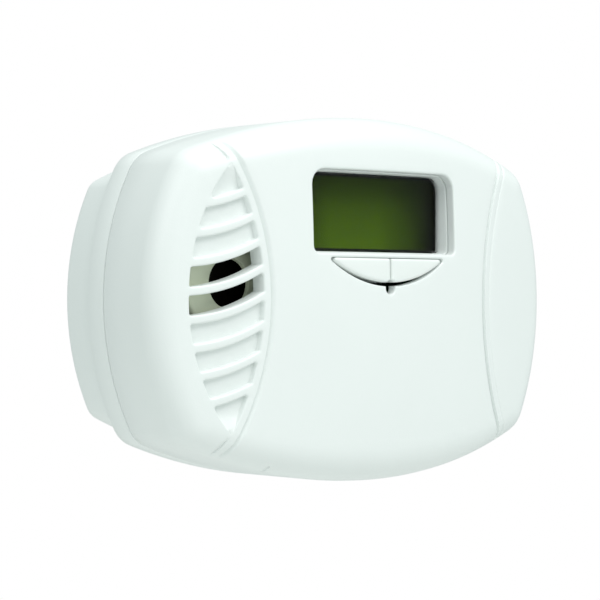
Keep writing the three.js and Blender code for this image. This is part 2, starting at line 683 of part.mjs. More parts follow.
function rearHousing() {
  const inWall = -BACK_WALL / 2;
  const bayWidth = [-BAY_HALF_LENGTH, BAY_HALF_LENGTH];
  const outer = block(
    [-BAY_HALF_LENGTH - BAY_WALL, BAY_HALF_LENGTH + BAY_WALL],
    [BAY_OUTER_Y, inWall],
    [BAY_LOW - BAY_WALL, BAY_HIGH + BAY_WALL],
  );
  const parts = [backShell(), outer];
  const holes = [block(bayWidth, [BAY_FLOOR_Y, 1], [BAY_LOW, BAY_HIGH])];
  for (const [x, z] of corners(CASE_SCREW_X, CASE_SCREW_Z)) {
    parts.push(rod(CASE_BOSS_RADIUS, [-CASE_BOSS_TOP, inWall], x, z, 16));
    holes.push(rod(CASE_SCREW_HEAD + 2 * GAP, [CASE_SCREW_SEAT_Y, 1], x, z, 16));
    holes.push(rod(CASE_SCREW_RADIUS + GAP, [-CASE_BOSS_TOP - 1, 1], x, z, 10));
  }
  for (const h of SIGNS) {
    const x = h * CARRIER_SCREW_X;
    const top = -BACK_WALL - CARRIER_BOSS_HEIGHT;
    parts.push(rod(CARRIER_BOSS_RADIUS, [top, inWall], x, BLADE_Z, 16));
    const pilot = SMALL_SCREW_RADIUS + SCREW_CLEARANCE;
    holes.push(rod(pilot, [top - 1, -BACK_WALL / 2], x, BLADE_Z, 12));
    holes.push(crossRod(
      DOOR_PIN_RADIUS + DOOR_PIN_CLEARANCE,
      [h * BAY_HALF_LENGTH, h * (BAY_HALF_LENGTH + DOOR_PIN_LENGTH)].sort((a, b) => a - b),
      -DOOR_AXIS_DEPTH,
      DOOR_AXIS_Z,
    ));
  }
  for (const [side, width] of [[1, LINE_BLADE_WIDTH], [-1, NEUTRAL_BLADE_WIDTH]]) {
    const halfWidth = width / 2 + SLIDE_GAP;
    const halfThickness = BLADE_THICKNESS / 2 + SLIDE_GAP;
    const x = side * BLADE_X;
    holes.push(block(
      [x - halfThickness, x + halfThickness],
      [-BACK_WALL - 1, 1],
      [BLADE_Z - halfWidth, BLADE_Z + halfWidth],
    ));
  }
  for (const z of [CELL_LOW_Z, CELL_HIGH_Z]) {
    const halfSlot = CONTACT_TAB_HALF_WIDTH + GAP;
    holes.push(block(
      [CONTACT_X - GAP, CONTACT_X + CONTACT_THICKNESS + GAP],
      [BAY_OUTER_Y - 1, BAY_FLOOR_Y + 1],
      [z - halfSlot, z + halfSlot],
    ));
  }
  const thumb = new THREE.Shape();
  const sunkCentre = THUMB_RADIUS - THUMB_RISE;
  const thumbTurn = Math.acos(sunkCentre / THUMB_RADIUS);
  thumb.absarc(0, BAY_HIGH - sunkCentre, THUMB_RADIUS, FACE - thumbTurn, FACE + thumbTurn, false);
  holes.push(prism(thumb, 1, -THUMB_DEPTH, 10));
  return joined(parts).subtract(joined(holes));
}

function batteryDoor() {
  const width = BAY_HALF_LENGTH - SLIDE_GAP;
  const outerY = -DOOR_RECESS;
  const innerY = outerY - DOOR_THICKNESS;
  const topZ = BAY_HIGH - DOOR_TOP_GAP;
  const halfTongue = DOOR_TONGUE_WIDTH / 2;
  return joined([
    block([-width, width], [innerY, outerY], [DOOR_AXIS_Z - DOOR_HEEL, topZ]),
    crossRod(DOOR_BARREL, [-width, width], -DOOR_AXIS_DEPTH, DOOR_AXIS_Z),
    crossRod(
      DOOR_PIN_RADIUS,
      [-BAY_HALF_LENGTH - DOOR_PIN_LENGTH + GAP, BAY_HALF_LENGTH + DOOR_PIN_LENGTH - GAP],
      -DOOR_AXIS_DEPTH,
      DOOR_AXIS_Z,
    ),
    block(
      [-halfTongue, halfTongue],
      [innerY - DOOR_TONGUE_LENGTH, innerY + 1],
      [topZ - DOOR_TONGUE_THICKNESS, topZ],
    ),
  ]);
}

function addCase() {
  place('front_cover', frontCover(), WHITE_ABS);
  place('rear_housing', rearHousing(), WHITE_ABS);
  place('battery_door', batteryDoor(), WHITE_ABS);
}

// --------------------------------------------------------------- screws

// The head sits on Y = 0 and the shank runs towards -Y.
function screw(radius, head, headHeight, length) {
  return turned([
    [0, headHeight],
    [head, headHeight * 0.5],
    [head, 0],
    [radius, 0],
    [radius, radius - length],
    [0, -length],
  ], 10);
}

function addScrews() {
  const caseScrew = screw(CASE_SCREW_RADIUS, CASE_SCREW_HEAD, 2, CASE_SCREW_LENGTH);
  corners(CASE_SCREW_X, CASE_SCREW_Z).forEach(([x, z], i) => {
    place(`case_screw_${i + 1}`, caseScrew, STEEL, [x, CASE_SCREW_SEAT_Y + GAP, z]);
  });
  const small = screw(
    SMALL_SCREW_RADIUS,
    SMALL_SCREW_HEAD,
    SMALL_SCREW_HEAD_HEIGHT,
    SMALL_SCREW_LENGTH,
  );
  corners(BOARD_SCREW_X, BOARD_SCREW_Z).forEach(([x, z], i) => {
    place(`board_screw_${i + 1}`, small, STEEL, [x, BOARD_BACK_Y + GAP, z]);
  });
  const earTop = -BACK_WALL - CARRIER_BOSS_HEIGHT - GAP - CARRIER_EAR_THICKNESS;
  SIGNS.forEach((h, i) => {
    const position = [h * CARRIER_SCREW_X, earTop - GAP, BLADE_Z];
    place(`carrier_screw_${i + 1}`, small, STEEL, position, [Math.PI, 0, 0]);
  });
}

// -------------------------------------------------------------- display

function displayFrame() {
  const inner = BEZEL_STEP;
  const outer = inner - BEZEL_WALL;
  const tube = prism(windowOutline(outer), PARTS_Y, FRONT_Y, 3);
  return tube
    .intersect(caseFront(WALL + GAP))
    .subtract(prism(windowOutline(inner), PARTS_Y + 1, FRONT_Y - 1, 3));
}

function addDisplay() {
  const fitted = windowOutline(BEZEL_STEP + GAP);
  const lensBack = LENS_Y + LENS_THICKNESS;
  const lcdFront = lensBack + GAP;
  const lcdBack = lcdFront + LCD_THICKNESS;
  const guideFront = lcdBack + GAP;
  const half = WINDOW_WIDTH / 2 - BEZEL_STEP - 2 * GAP;
  const stripLow = WINDOW_BOTTOM + WINDOW_LOW_CORNER;
  const stripHigh = stripLow + STRIP_HEIGHT;
  place('display_frame', displayFrame(), WHITE_ABS);
  place('display_window', prism(fitted, lensBack, LENS_Y, 3), CLEAR_PLASTIC);
  place('lcd_glass', prism(fitted, lcdBack, lcdFront, 3), LCD_GREEN);
  place('lcd_light_guide', block(
    [-half, half],
    [guideFront, guideFront + LIGHT_GUIDE_THICKNESS],
    [stripHigh + GAP, WINDOW_TOP - WINDOW_TOP_CORNER],
  ), CLEAR_PLASTIC);
  place('lcd_contact_strip', block(
    [WINDOW_TOP_CORNER - half, half - WINDOW_TOP_CORNER],
    [guideFront, PARTS_Y],
    [stripLow, stripHigh],
  ), GREY_RUBBER);
}

// -------------------------------------------------------------- buttons

// The right-hand button; the left-hand one is its mirror image.
function button(side) {
  const splitX = SLIDE_GAP / 2;
  const lipFront = frontAt(WINDOW_WIDTH / 2, BUTTON_TOP) + WALL + GAP;
  const lipBack = lipFront + BUTTON_LIP_THICKNESS;
  const half = (shape) => polygon(shape.getPoints(10).map((point) => [side * point.x, point.y]));
  const cap = prism(half(moonOutline(SLIDE_GAP, splitX)), lipBack, FRONT_Y - 2)
    .intersect(caseFront(-BUTTON_PROUD));
  const lip = prism(half(moonOutline(-BUTTON_LIP, splitX)), lipBack, lipFront)
    .subtract(block([-CASE_WIDTH, CASE_WIDTH], [FRONT_Y, 0], [BUTTON_TOP - SLIDE_GAP, CASE_HEIGHT]));
  const stem = rod(BUTTON_STEM_RADIUS, [lipBack - 1, STEM_Y], side * BUTTON_STEM_X, BUTTON_STEM_Z);
  const pipeRoom = rod(INDICATOR_RADIUS + GAP, [FRONT_Y - 2, STEM_Y], 0, INDICATOR_Z, 16);
  return joined([cap, lip, stem]).subtract(pipeRoom);
}

function addButtons() {
  const room = PLUNGER_RADIUS + SLIDE_GAP;
  const hollow = SWITCH_Y + PLUNGER_DEPTH + BUTTON_TRAVEL + GAP;
  const half = SWITCH_SIZE / 2;
  const switchBody = block([-half, half], [SWITCH_Y, PARTS_Y], [-half, half])
    .subtract(rod(room, [SWITCH_Y - 1, hollow], 0, 0, 16));
  const plunger = rod(PLUNGER_RADIUS, [PLUNGER_Y, PLUNGER_Y + PLUNGER_HEIGHT], 0, 0, 16);
  for (const [name, side] of [['test', -1], ['peak', 1]]) {
    const spot = [side * BUTTON_STEM_X, 0, BUTTON_STEM_Z];
    place(`${name}_button`, button(side), WHITE_BUTTON);
    place(`${name}_switch_body`, switchBody, BLACK_PLASTIC, spot);
    place(`${name}_switch_plunger`, plunger, BLACK_PLASTIC, spot);
  }
  const ledFront = PARTS_Y - LED_HEIGHT;
  const ledRadius = INDICATOR_RADIUS - 0.1;
  const led = turned([
    [0, ledFront],
    [ledRadius * 0.7, ledFront + 0.5],
    [ledRadius, ledFront + 1.4],
    [ledRadius, PARTS_Y],
    [0, PARTS_Y],
  ], 14);
  place('status_led', led, CLEAR_PLASTIC, [0, 0, INDICATOR_Z]);
  const pipe = [FRONT_Y + LIGHT_PIPE_RECESS, ledFront - GAP];
  place('light_pipe', rod(INDICATOR_RADIUS - GAP, pipe, 0, INDICATOR_Z, 14), CLEAR_PLASTIC);
}

// ------------------------------------------------------------------ horn

function addHorn() {
  const ledge = HORN_RADIUS - HORN_WALL - HORN_LEDGE;
  const bore = HORN_RADIUS - HORN_WALL;
  const discFront = HORN_Y + HORN_DISC_RECESS;
  const discBack = discFront + HORN_DISC_THICKNESS;
  const housing = turned([
    [HORN_PORT_RADIUS, HORN_Y + HORN_PORT_EDGE],
    [HORN_PORT_RADIUS + HORN_PORT_EDGE, HORN_Y],
    [HORN_RADIUS - HORN_EDGE, HORN_Y],
    [HORN_RADIUS, HORN_Y + HORN_EDGE],
    [HORN_RADIUS, PARTS_Y],
    [bore, PARTS_Y],
    [bore, discFront - GAP],
    [ledge, discFront - GAP],
    [ledge, HORN_Y + HORN_WALL],
    [HORN_PORT_RADIUS, HORN_Y + HORN_WALL],
    [HORN_PORT_RADIUS, HORN_Y + HORN_PORT_EDGE],
  ], 26);
  const centre = [HORN_X, 0, HORN_Z];
  place('horn_housing', housing, CREAM_PLASTIC, centre);
  const disc = rod(bore - HORN_DISC_CLEARANCE, [discFront, discBack], 0, 0, 28);
  place('horn_disc', disc, BRASS, centre);
  const contact = rod(HORN_CONTACT_RADIUS, [discBack + GAP, PARTS_Y], 0, 0, 8);
  SIGNS.forEach((side, i) => {
    const spot = [HORN_X + side * HORN_CONTACT_SPREAD, 0, HORN_Z];
    place(`horn_contact_${i + 1}`, contact, NICKEL, spot);
  });
}

// ----------------------------------------------------------------- board

function mainBoard() {
  const notchX = CASE_SCREW_X - COVER_BOSS_RADIUS - 2 * GAP;
  const notchZ = CASE_SCREW_Z - COVER_BOSS_RADIUS - 2 * GAP;
  const outline = [
    [BOARD_HALF_WIDTH, notchZ],
    [notchX, notchZ],
    [notchX, BOARD_HALF_HEIGHT],
  ];
  const quarters = [[1, 1], [-1, 1], [-1, -1], [1, -1]].flatMap(([h, v]) => {
    const run = h * v > 0 ? outline : [...outline].reverse();
    return run.map(([x, z]) => [h * x, v * z]);
  });
  const holes = corners(BOARD_SCREW_X, BOARD_SCREW_Z).map(([x, z]) => (
    rod(SMALL_SCREW_RADIUS + GAP, [BOARD_FRONT_Y - 1, BOARD_BACK_Y + 1], x, z, 12)
  ));
  return prism(polygon(quarters), BOARD_BACK_Y, BOARD_FRONT_Y).subtract(joined(holes));
}

// A square part that stands on the front of the board.
const standing = ({ width, height, tall }) => (
  block([-width / 2, width / 2], [PARTS_Y - tall, PARTS_Y], [-height / 2, height / 2])
);

function can({ radius, tall }, sides = 20) {
  return turned([
    [0, PARTS_Y - tall],
    [radius - PART_EDGE, PARTS_Y - tall],
    [radius, PARTS_Y - tall + PART_EDGE],
    [radius, PARTS_Y],
    [0, PARTS_Y],
  ], sides);
}

// A flat disc that stands on its edge.
function disc({ radius, thickness, axisTall }) {
  return crossRod(radius, [-thickness / 2, thickness / 2], PARTS_Y - axisTall, 0, 20);
}

function lying({ radius, halfLength, axisTall }) {
  return crossRod(radius, [-halfLength, halfLength], PARTS_Y - axisTall, 0, 14);
}

const nearEdge = ({ fromEdge, z }) => [BOARD_HALF_WIDTH - fromEdge, 0, z];
const onBoard = ({ x, z }) => [x, 0, z];

function addBoardParts() {
  const film = FILM_CAPACITOR;
  const reservoir = RESERVOIR_CAPACITOR;
  const filter = FILTER_CAPACITOR;
  const fuse = FUSE_RESISTOR;
  const chip = MICROCONTROLLER;
  place('main_board', mainBoard(), BOARD_GREEN);
  place('film_capacitor', standing(film), CAPACITOR_YELLOW, nearEdge(film));
  place('reservoir_capacitor', can(reservoir), CAPACITOR_BLUE, nearEdge(reservoir));
  place('filter_capacitor', can(filter, 16), CAPACITOR_BLUE, nearEdge(filter));
  place('varistor', disc(VARISTOR), CAPACITOR_BLUE, nearEdge(VARISTOR));
  place('fuse_resistor', lying(fuse), CREAM_PLASTIC, nearEdge(fuse));
  place('rectifier', standing(RECTIFIER), BLACK_PLASTIC, nearEdge(RECTIFIER));
  place('microcontroller', standing(chip), BLACK_PLASTIC, onBoard(chip));
  place('piezo_driver', standing(PIEZO_DRIVER), BLACK_PLASTIC, onBoard(PIEZO_DRIVER));
  const sensor = [SENSOR_X, 0, SENSOR_Z];
  const sensorTop = PARTS_Y - SENSOR_HEIGHT;
  const sensorCan = can({ radius: SENSOR_RADIUS, tall: SENSOR_HEIGHT }, 22);
  place('gas_sensor', sensorCan, NICKEL, sensor);
  place('sensor_filter', rod(
    SENSOR_FILTER_RADIUS,
    [sensorTop - GAP - SENSOR_FILTER_THICKNESS, sensorTop - GAP],
  ), WHITE_LEAD, sensor);
}

// ----------------------------------------------------------------- cells

// A cell lies along X with its raised contact at the high end.
function cell() {
  const rim = 0.8;
  return turned([
    [0, 0],
    [CELL_RADIUS - rim, 0],
    [CELL_RADIUS, rim],
    [CELL_RADIUS, CELL_LENGTH - CELL_NUB_LENGTH - rim],
    [CELL_RADIUS - rim, CELL_LENGTH - CELL_NUB_LENGTH],
    [CELL_NUB_RADIUS, CELL_LENGTH - CELL_NUB_LENGTH],
    [CELL_NUB_RADIUS, CELL_LENGTH],
    [0, CELL_LENGTH],
  ], 20);
}

class Helix extends THREE.Curve {
  getPoint(t, target = new THREE.Vector3()) {
    const turn = 2 * Math.PI * SPRING_TURNS * t;
    const run = SPRING_LENGTH - 2 * GAP - 2 * SPRING_WIRE;
    return target.set(
      SPRING_RADIUS * Math.cos(turn),
      SPRING_RADIUS * Math.sin(turn),
      GAP + SPRING_WIRE + run * t,
    );
  }
}

function wireSection(radius, sides) {
  return polygon(Array.from({ length: sides }, (unused, k) => {
    const turn = (2 * Math.PI * k) / sides;
    return [radius * Math.cos(turn), radius * Math.sin(turn)];
  }));
}

function coilSpring() {
  const section = wireSection(SPRING_WIRE, 5);
  const steps = 10 * SPRING_TURNS;
  return solid(new THREE.ExtrudeGeometry(section, { steps, extrudePath: new Helix() }));
}

function cellContact() {
  const tab = CONTACT_TAB_HALF_WIDTH;
  const low = BAY_FLOOR_Y + GAP;
  const high = CELL_Y + CELL_RADIUS - 1;
  const end = CONTACT_TAB_END_Y;
  const outline = polygon([
    [high, -CONTACT_HALF_WIDTH],
    [high, CONTACT_HALF_WIDTH],
    [low, CONTACT_HALF_WIDTH],
    [low, tab],
    [end, tab],
    [end, -tab],
    [low, -tab],
    [low, -CONTACT_HALF_WIDTH],
  ]);
  return plate(outline, CONTACT_X, CONTACT_X + CONTACT_THICKNESS);
}

function addCells() {
  const along = [0, 0, -FACE];
  place('battery_cell_1', cell(), CELL_SLEEVE, [-CELL_BASE_X, CELL_Y, CELL_HIGH_Z], [0, 0, FACE]);
  place('battery_cell_2', cell(), CELL_SLEEVE, [CELL_BASE_X, CELL_Y, CELL_LOW_Z], along);
  const spring = coilSpring();
  place('battery_spring_1', spring, NICKEL, [-CELL_BASE_X, CELL_Y, CELL_HIGH_Z], [0, FACE, 0]);
  place('battery_spring_2', spring, NICKEL, [CELL_BASE_X, CELL_Y, CELL_LOW_Z], [0, -FACE, 0]);
  place('battery_minus_contact', cellContact(), NICKEL, [0, 0, CELL_HIGH_Z]);
  place('battery_plus_contact', cellContact(), NICKEL, [0, 0, CELL_LOW_Z]);
  place('battery_link_contact', block(
    [-CONTACT_X - CONTACT_THICKNESS, -CONTACT_X],
    [BAY_FLOOR_Y + GAP, CELL_Y + CELL_RADIUS - 1],
    [CELL_LOW_Z - CONTACT_HALF_WIDTH, CELL_HIGH_Z + CONTACT_HALF_WIDTH],
  ), NICKEL);
}

// ---------------------------------------------------------------- mains

function blade(width) {
  const half = width / 2;
  const tip = BLADE_TIP;
  const outline = polygon([
    [BLADE_REACH, half - 1.5 * tip],
    [BLADE_REACH - tip, half],
    [-BLADE_TAB, half],
    [-BLADE_TAB, -half],
    [BLADE_REACH - tip, -half],
    [BLADE_REACH, 1.5 * tip - half],
  ]);
  const halfThickness = BLADE_THICKNESS / 2;
  return plate(outline, -halfThickness, halfThickness);
}

function bladeCarrier() {
  const back = -BACK_WALL - GAP;
  const earBack = -BACK_WALL - CARRIER_BOSS_HEIGHT - GAP;
  const earReach = CARRIER_SCREW_X + CARRIER_EAR;
  const body = block(
    [-CARRIER_HALF_WIDTH, CARRIER_HALF_WIDTH],
    [back - CARRIER_DEPTH, back],
    [BLADE_Z - CARRIER_HALF_HEIGHT, BLADE_Z + CARRIER_HALF_HEIGHT],
  );
  const ears = block(
    [-earReach, earReach],
    [earBack - CARRIER_EAR_THICKNESS, earBack],
    [BLADE_Z - CARRIER_EAR, BLADE_Z + CARRIER_EAR],
  );
  const holes = SIGNS.map((h) => (
    rod(SMALL_SCREW_RADIUS + GAP, [back - CARRIER_DEPTH, back], h * CARRIER_SCREW_X, BLADE_Z, 12)
  ));
  for (const [side, width] of [[1, LINE_BLADE_WIDTH], [-1, NEUTRAL_BLADE_WIDTH]]) {
    const x = side * BLADE_X;
    const halfThickness = BLADE_THICKNESS / 2 + GAP / 2;
    const halfWidth = width / 2 + GAP / 2;
    holes.push(block(
      [x - halfThickness, x + halfThickness],
      [back - CARRIER_DEPTH - 1, back + 1],
      [BLADE_Z - halfWidth, BLADE_Z + halfWidth],
    ));
  }
  return body.add(ears).subtract(joined(holes));
}

function addMains() {
  place('line_blade', blade(LINE_BLADE_WIDTH), NICKEL, [BLADE_X, 0, BLADE_Z]);
  place('neutral_blade', blade(NEUTRAL_BLADE_WIDTH), NICKEL, [-BLADE_X, 0, BLADE_Z]);
  place('blade_carrier', bladeCarrier(), BLACK_PLASTIC);
}

// ----------------------------------------------------------------- wires

function lead(path, steps) {
  const section = wireSection(WIRE_RADIUS, 8);
  return solid(new THREE.ExtrudeGeometry(section, { steps, extrudePath: path }));
}

function wire(points) {
  const path = new THREE.CatmullRomCurve3(points.map((point) => new THREE.Vector3(...point)));
  return lead(path, 2 * (points.length - 1));
}

// A short lead that leaves its tab and meets the board square on.
function shortLead([x, y, z], [endX, endY, endZ]) {
  const middle = (y + endY) / 2;
  return lead(new THREE.CubicBezierCurve3(
    new THREE.Vector3(x, y, z),
    new THREE.Vector3(x, middle, z),
    new THREE.Vector3(endX, middle, endZ),
    new THREE.Vector3(endX, endY, endZ),
  ), 8);
}

// Depths along the mains leads are shares of the way from blade to board, so
// the leads follow the board when the depth changes.
function addWires() {
  const boardEnd = BOARD_BACK_Y + GAP;
  const bladeEnd = -BLADE_TAB - GAP;
  const mains = (share) => bladeEnd + (boardEnd - bladeEnd) * share;
  const lineX = BOARD_HALF_WIDTH - LINE_PAD_FROM_EDGE;
  const neutralX = BOARD_HALF_WIDTH - NEUTRAL_PAD_FROM_EDGE;
  const contactX = CONTACT_X + CONTACT_THICKNESS / 2;
  place('line_wire', wire([
    [BLADE_X, mains(0), BLADE_Z],
    [BLADE_X, mains(0.22), BLADE_Z],
    [lineX - 20, mains(0.5), LINE_PAD_Z - 2],
    [lineX - 11, mains(0.63), LINE_PAD_Z - 0.5],
    [lineX - 2.5, mains(0.67), LINE_PAD_Z],
    [lineX, mains(0.79), LINE_PAD_Z],
    [lineX, mains(1), LINE_PAD_Z],
  ]), BLACK_LEAD);
  place('neutral_wire', wire([
    [-BLADE_X, mains(0), BLADE_Z],
    [-BLADE_X, mains(0.22), BLADE_Z],
    [neutralX - 29, mains(0.5), NEUTRAL_PAD_Z - 4],
    [neutralX - 16, mains(0.63), NEUTRAL_PAD_Z - 1],
    [neutralX - 3, mains(0.67), NEUTRAL_PAD_Z],
    [neutralX, mains(0.79), NEUTRAL_PAD_Z],
    [neutralX, mains(1), NEUTRAL_PAD_Z],
  ]), WHITE_LEAD);
  const cellLeads = [
    ['battery_minus_wire', CELL_HIGH_Z, BLACK_LEAD],
    ['battery_plus_wire', CELL_LOW_Z, RED_LEAD],
  ];
  for (const [name, z, look] of cellLeads) {
    const start = [contactX, CONTACT_TAB_END_Y - GAP, z];
    const pad = [contactX + CELL_PAD_OUT, boardEnd, z + CELL_PAD_RISE];
    place(name, shortLead(start, pad), look);
  }
}

addCase();
addScrews();
addDisplay();
addButtons();
addHorn();
addBoardParts();
addCells();
addMains();
addWires();

export default detector;
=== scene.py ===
import math

import bmesh
import bpy
import numpy as np
from mathutils import Matrix, Vector
from mathutils.geometry import delaunay_2d_cdt


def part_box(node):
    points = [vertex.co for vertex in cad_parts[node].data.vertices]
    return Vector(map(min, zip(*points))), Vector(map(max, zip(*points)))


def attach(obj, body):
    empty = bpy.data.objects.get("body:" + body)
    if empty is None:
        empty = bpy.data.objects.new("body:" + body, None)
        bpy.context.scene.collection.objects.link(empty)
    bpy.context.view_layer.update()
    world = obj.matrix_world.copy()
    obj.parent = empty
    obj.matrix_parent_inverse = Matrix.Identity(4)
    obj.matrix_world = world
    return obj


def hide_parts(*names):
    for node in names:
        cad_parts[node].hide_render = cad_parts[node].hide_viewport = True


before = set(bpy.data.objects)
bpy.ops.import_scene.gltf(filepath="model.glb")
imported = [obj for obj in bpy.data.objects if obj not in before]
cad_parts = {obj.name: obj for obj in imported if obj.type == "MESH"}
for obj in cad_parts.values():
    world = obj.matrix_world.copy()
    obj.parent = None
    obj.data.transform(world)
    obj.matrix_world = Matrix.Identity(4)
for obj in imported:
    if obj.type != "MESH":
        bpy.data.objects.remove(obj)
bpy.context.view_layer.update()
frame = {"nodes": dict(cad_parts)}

# ------------------------------------------------------------------ sizes
# Millimetres. X to the right from the front, Z up, the front faces -Y.

MM = 0.001


def box_mm(node):
    low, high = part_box(node)
    return np.array(low) / MM, np.array(high) / MM


cover_low, cover_high = box_mm("front_cover")
HALF_WIDTH = cover_high[0]
HALF_HEIGHT = cover_high[2]
FRONT_Y = cover_low[1]
GAP = 0.3
SLIDE_GAP = 0.35
WALL = 2.4
BACK_WALL = 2.2

# The front outline's bows and corner, the face's crown and the rounded edge.
TOP_BOW, SIDE_BOW, CORNER = 11.0, 9.6, 8.7
CROWN_SIDE, CROWN_TOP = 9.9, 2.1
SIDE_ROUND, TOP_ROUND = 5.6, 8.3

# The smaller back, its flange and the seam where the cover meets it.
BACK_STEP = 3.05
BACK_TOP_BOW, BACK_SIDE_BOW, BACK_CORNER = 13.4, 7.1, 5.5
BACK_ROUND, BACK_DRAFT = 2.5, 0.4
FLANGE_Y, FLANGE_EDGE, FLANGE_FILLET = -14.8, 0.6, 0.5
SEAM_Y = FLANGE_Y - 6.8
SEAM_EDGE, SEAM_EDGE_MIDDLE = 0.25, 0.07
RIM_Y = SEAM_Y - GAP
LIP_HEIGHT, LIP_THICKNESS = 3.4, 1.5
EDGE_MIDDLE = 0.3
OPENING_EASE, SLOT_EASE = 0.35, 0.25

# The window, the half-moon of the two buttons and the indicator notch.
WINDOW_HALF, WINDOW_LOW, WINDOW_HIGH = 24.3, 11.4, 32.2
WINDOW_TOP_CORNER, WINDOW_LOW_CORNER = 4.0, 1.7
BEZEL_STEP, BEZEL_WALL, BEZEL_EASE = 0.4, 1.2, 0.35
MOON_TOP, MOON_LOW, MOON_ARC = 10.4, 3.2, 32.1
INDICATOR_Z, INDICATOR_RADIUS = 2.8, 1.6
BUTTON_PROUD, BUTTON_LIP, BUTTON_LIP_DEPTH = 0.25, 1.0, 1.2
BUTTON_INSET, BUTTON_FALL = 0.7, 0.75
BUTTON_CORNERS = [0.6, 0.45, 0.25, 0.3]
STEM_X, STEM_Z, STEM_RADIUS, STEM_ROOT, STEM_EASE = 10.5, 6.8, 1.9, 0.7, 0.25
MOON_TOP_GAP, MOON_LOW_GAP, FLATTER, LIP_STRETCH = 0.13, 1.0, 3.9, 1.1
LIP_CUT, LIP_CUT_EDGE = (0.45, 0.8), 0.08

# The beads and the grooves beside them; a pair is where a slope starts and ends.
BEAD_ARC, BEAD_WIDTH, BEAD_X = 71.6, 1.8, 30.4 - HALF_WIDTH
BEAD_CENTRE = BEAD_X - BEAD_ARC
GROOVE_DEPTH, INNER_GROOVE_DEPTH = 0.95, 0.65
GROOVE_WALL, GROOVE_RISE = (-0.12, 0.14), (0.2, 1.35)
INNER_FALL, INNER_RISE = (-0.75, -0.2), (-0.14, 0.12)
PAST_GRILLE, EDGE_FADE = (0.5, 1.4), (0.03, 0.24)

# The grille: a pointed oval with curved bars.
GRILLE_LEFT, GRILLE_HALF = 8.9 - HALF_WIDTH, 32.8
GRILLE_DEPTH, GRILLE_PAD, SLOT_DEPTH = 4.2, 1.4, 1.6
BAR_COUNT, BAR_PITCH, BAR_WIDTH, BAR_ARC = 8, 6.82, 2.1, 44.0
BAR_TILT, BAR_TOP_Z = 13.1, 24.1
OPEN_SLOTS = (3, 4)
SLOT_CORNER, APEX_CORNER = 0.5, 0.3

# The pry notch under the front: its middle, half width, and sloping roof.
NOTCH_X, NOTCH_HALF, NOTCH_FOOT_Z, NOTCH_EASE = -35.4, 1.9, -60.0, 0.5
NOTCH_ROOF = ((-44.6, -40.3), (-41.0, -42.0))

# How finely outlines and rounded edges are drawn.
EDGE_TURNS = np.radians([0, 9, 19, 30, 42, 54, 66, 78, 90])
EASE_TURNS = np.radians([0, 15, 30, 45, 60, 75, 90])
SIDE_COUNT, CORNER_COUNT, TOP_COUNT = 40, 14, 62
SHARP_ANGLE = 38

# ---------------------------------------------------------------- outlines


class BowedOutline:
    """Four bowed sides joined by corner arcs, centred on the origin."""

    def __init__(self, half_width, half_height, top_bow, side_bow, corner):
        self.top_radius = ((half_width - side_bow) ** 2 + top_bow**2) / (2 * top_bow)
        self.side_radius = ((half_height - top_bow) ** 2 + side_bow**2) / (2 * side_bow)
        self.corner_radius = corner
        self.top = np.array([0.0, half_height - self.top_radius])
        self.side = np.array([half_width - self.side_radius, 0.0])
        along = self.side - self.top
        distance = np.linalg.norm(along)
        along = along / distance
        to_top = self.top_radius - corner
        to_side = self.side_radius - corner
        reach = (distance**2 + to_top**2 - to_side**2) / (2 * distance)
        across = math.sqrt(to_top**2 - reach**2)
        self.middle = self.top + along * reach + np.array([along[1], -along[0]]) * across
        if self.middle[1] < 0:
            self.middle = self.top + along * reach - np.array([along[1], -along[0]]) * across
        self.side_end = math.atan2(*(self.middle - self.side)[::-1])
        self.top_start = math.atan2(*(self.middle - self.top)[::-1])
        self.samples = self._samples()

    def _samples(self):
        quarter = []
        arcs = (
            (self.side, self.side_radius, 0.0, self.side_end, SIDE_COUNT),
            (self.middle, self.corner_radius, self.side_end, self.top_start, CORNER_COUNT),
            (self.top, self.top_radius, self.top_start, math.pi / 2, TOP_COUNT),
        )
        for centre, radius, start, end, count in arcs:
            for k in range(count):
                quarter.append((centre, radius, start + (end - start) * k / count))
        end = (self.top, self.top_radius, math.pi / 2)
        back = [end] + quarter[:0:-1]
        rows = []
        for turn in range(4):
            mirror_x = -1 if turn in (1, 2) else 1
            mirror_z = -1 if turn >= 2 else 1
            for centre, radius, angle in quarter if turn % 2 == 0 else back:
                rows.append((
                    mirror_x * centre[0], mirror_z * centre[1], radius,
                    mirror_x * math.cos(angle), mirror_z * math.sin(angle),
                ))
        return np.array(rows)

    def loop(self, inset):
        """The outline moved inwards by one inset, or by one for each sample."""
        s = self.samples
        reach = s[:, 2] - inset
        return np.stack([s[:, 0] + reach * s[:, 3], s[:, 1] + reach * s[:, 4]], 1)

    def inside(self, x, z):
        """Distance inside the outline, and the outward normal and edge point."""
        u, v = np.abs(x), np.abs(z)
        turn = np.arctan2(v - self.middle[1], u - self.middle[0])
        in_corner = (turn > self.side_end) & (turn < self.top_start)
        from_side = self.side_radius - np.hypot(u - self.side[0], v - self.side[1])
        from_top = self.top_radius - np.hypot(u - self.top[0], v - self.top[1])
        use_side = from_side < from_top
        cx = np.where(in_corner, self.middle[0], np.where(use_side, self.side[0], self.top[0]))
        cz = np.where(in_corner, self.middle[1], np.where(use_side, self.side[1], self.top[1]))
        radius = np.where(
            in_corner, self.corner_radius, np.where(use_side, self.side_radius, self.top_radius)
        )
        away = np.maximum(np.hypot(u - cx, v - cz), 1e-9)
        normal_z = (v - cz) / away
        edge_x = cx + radius * (u - cx) / away
        return radius - away, normal_z, edge_x


case_outline = BowedOutline(HALF_WIDTH, HALF_HEIGHT, TOP_BOW, SIDE_BOW, CORNER)
back_outline = BowedOutline(
    HALF_WIDTH - BACK_STEP, HALF_HEIGHT - BACK_STEP, BACK_TOP_BOW, BACK_SIDE_BOW, BACK_CORNER
)


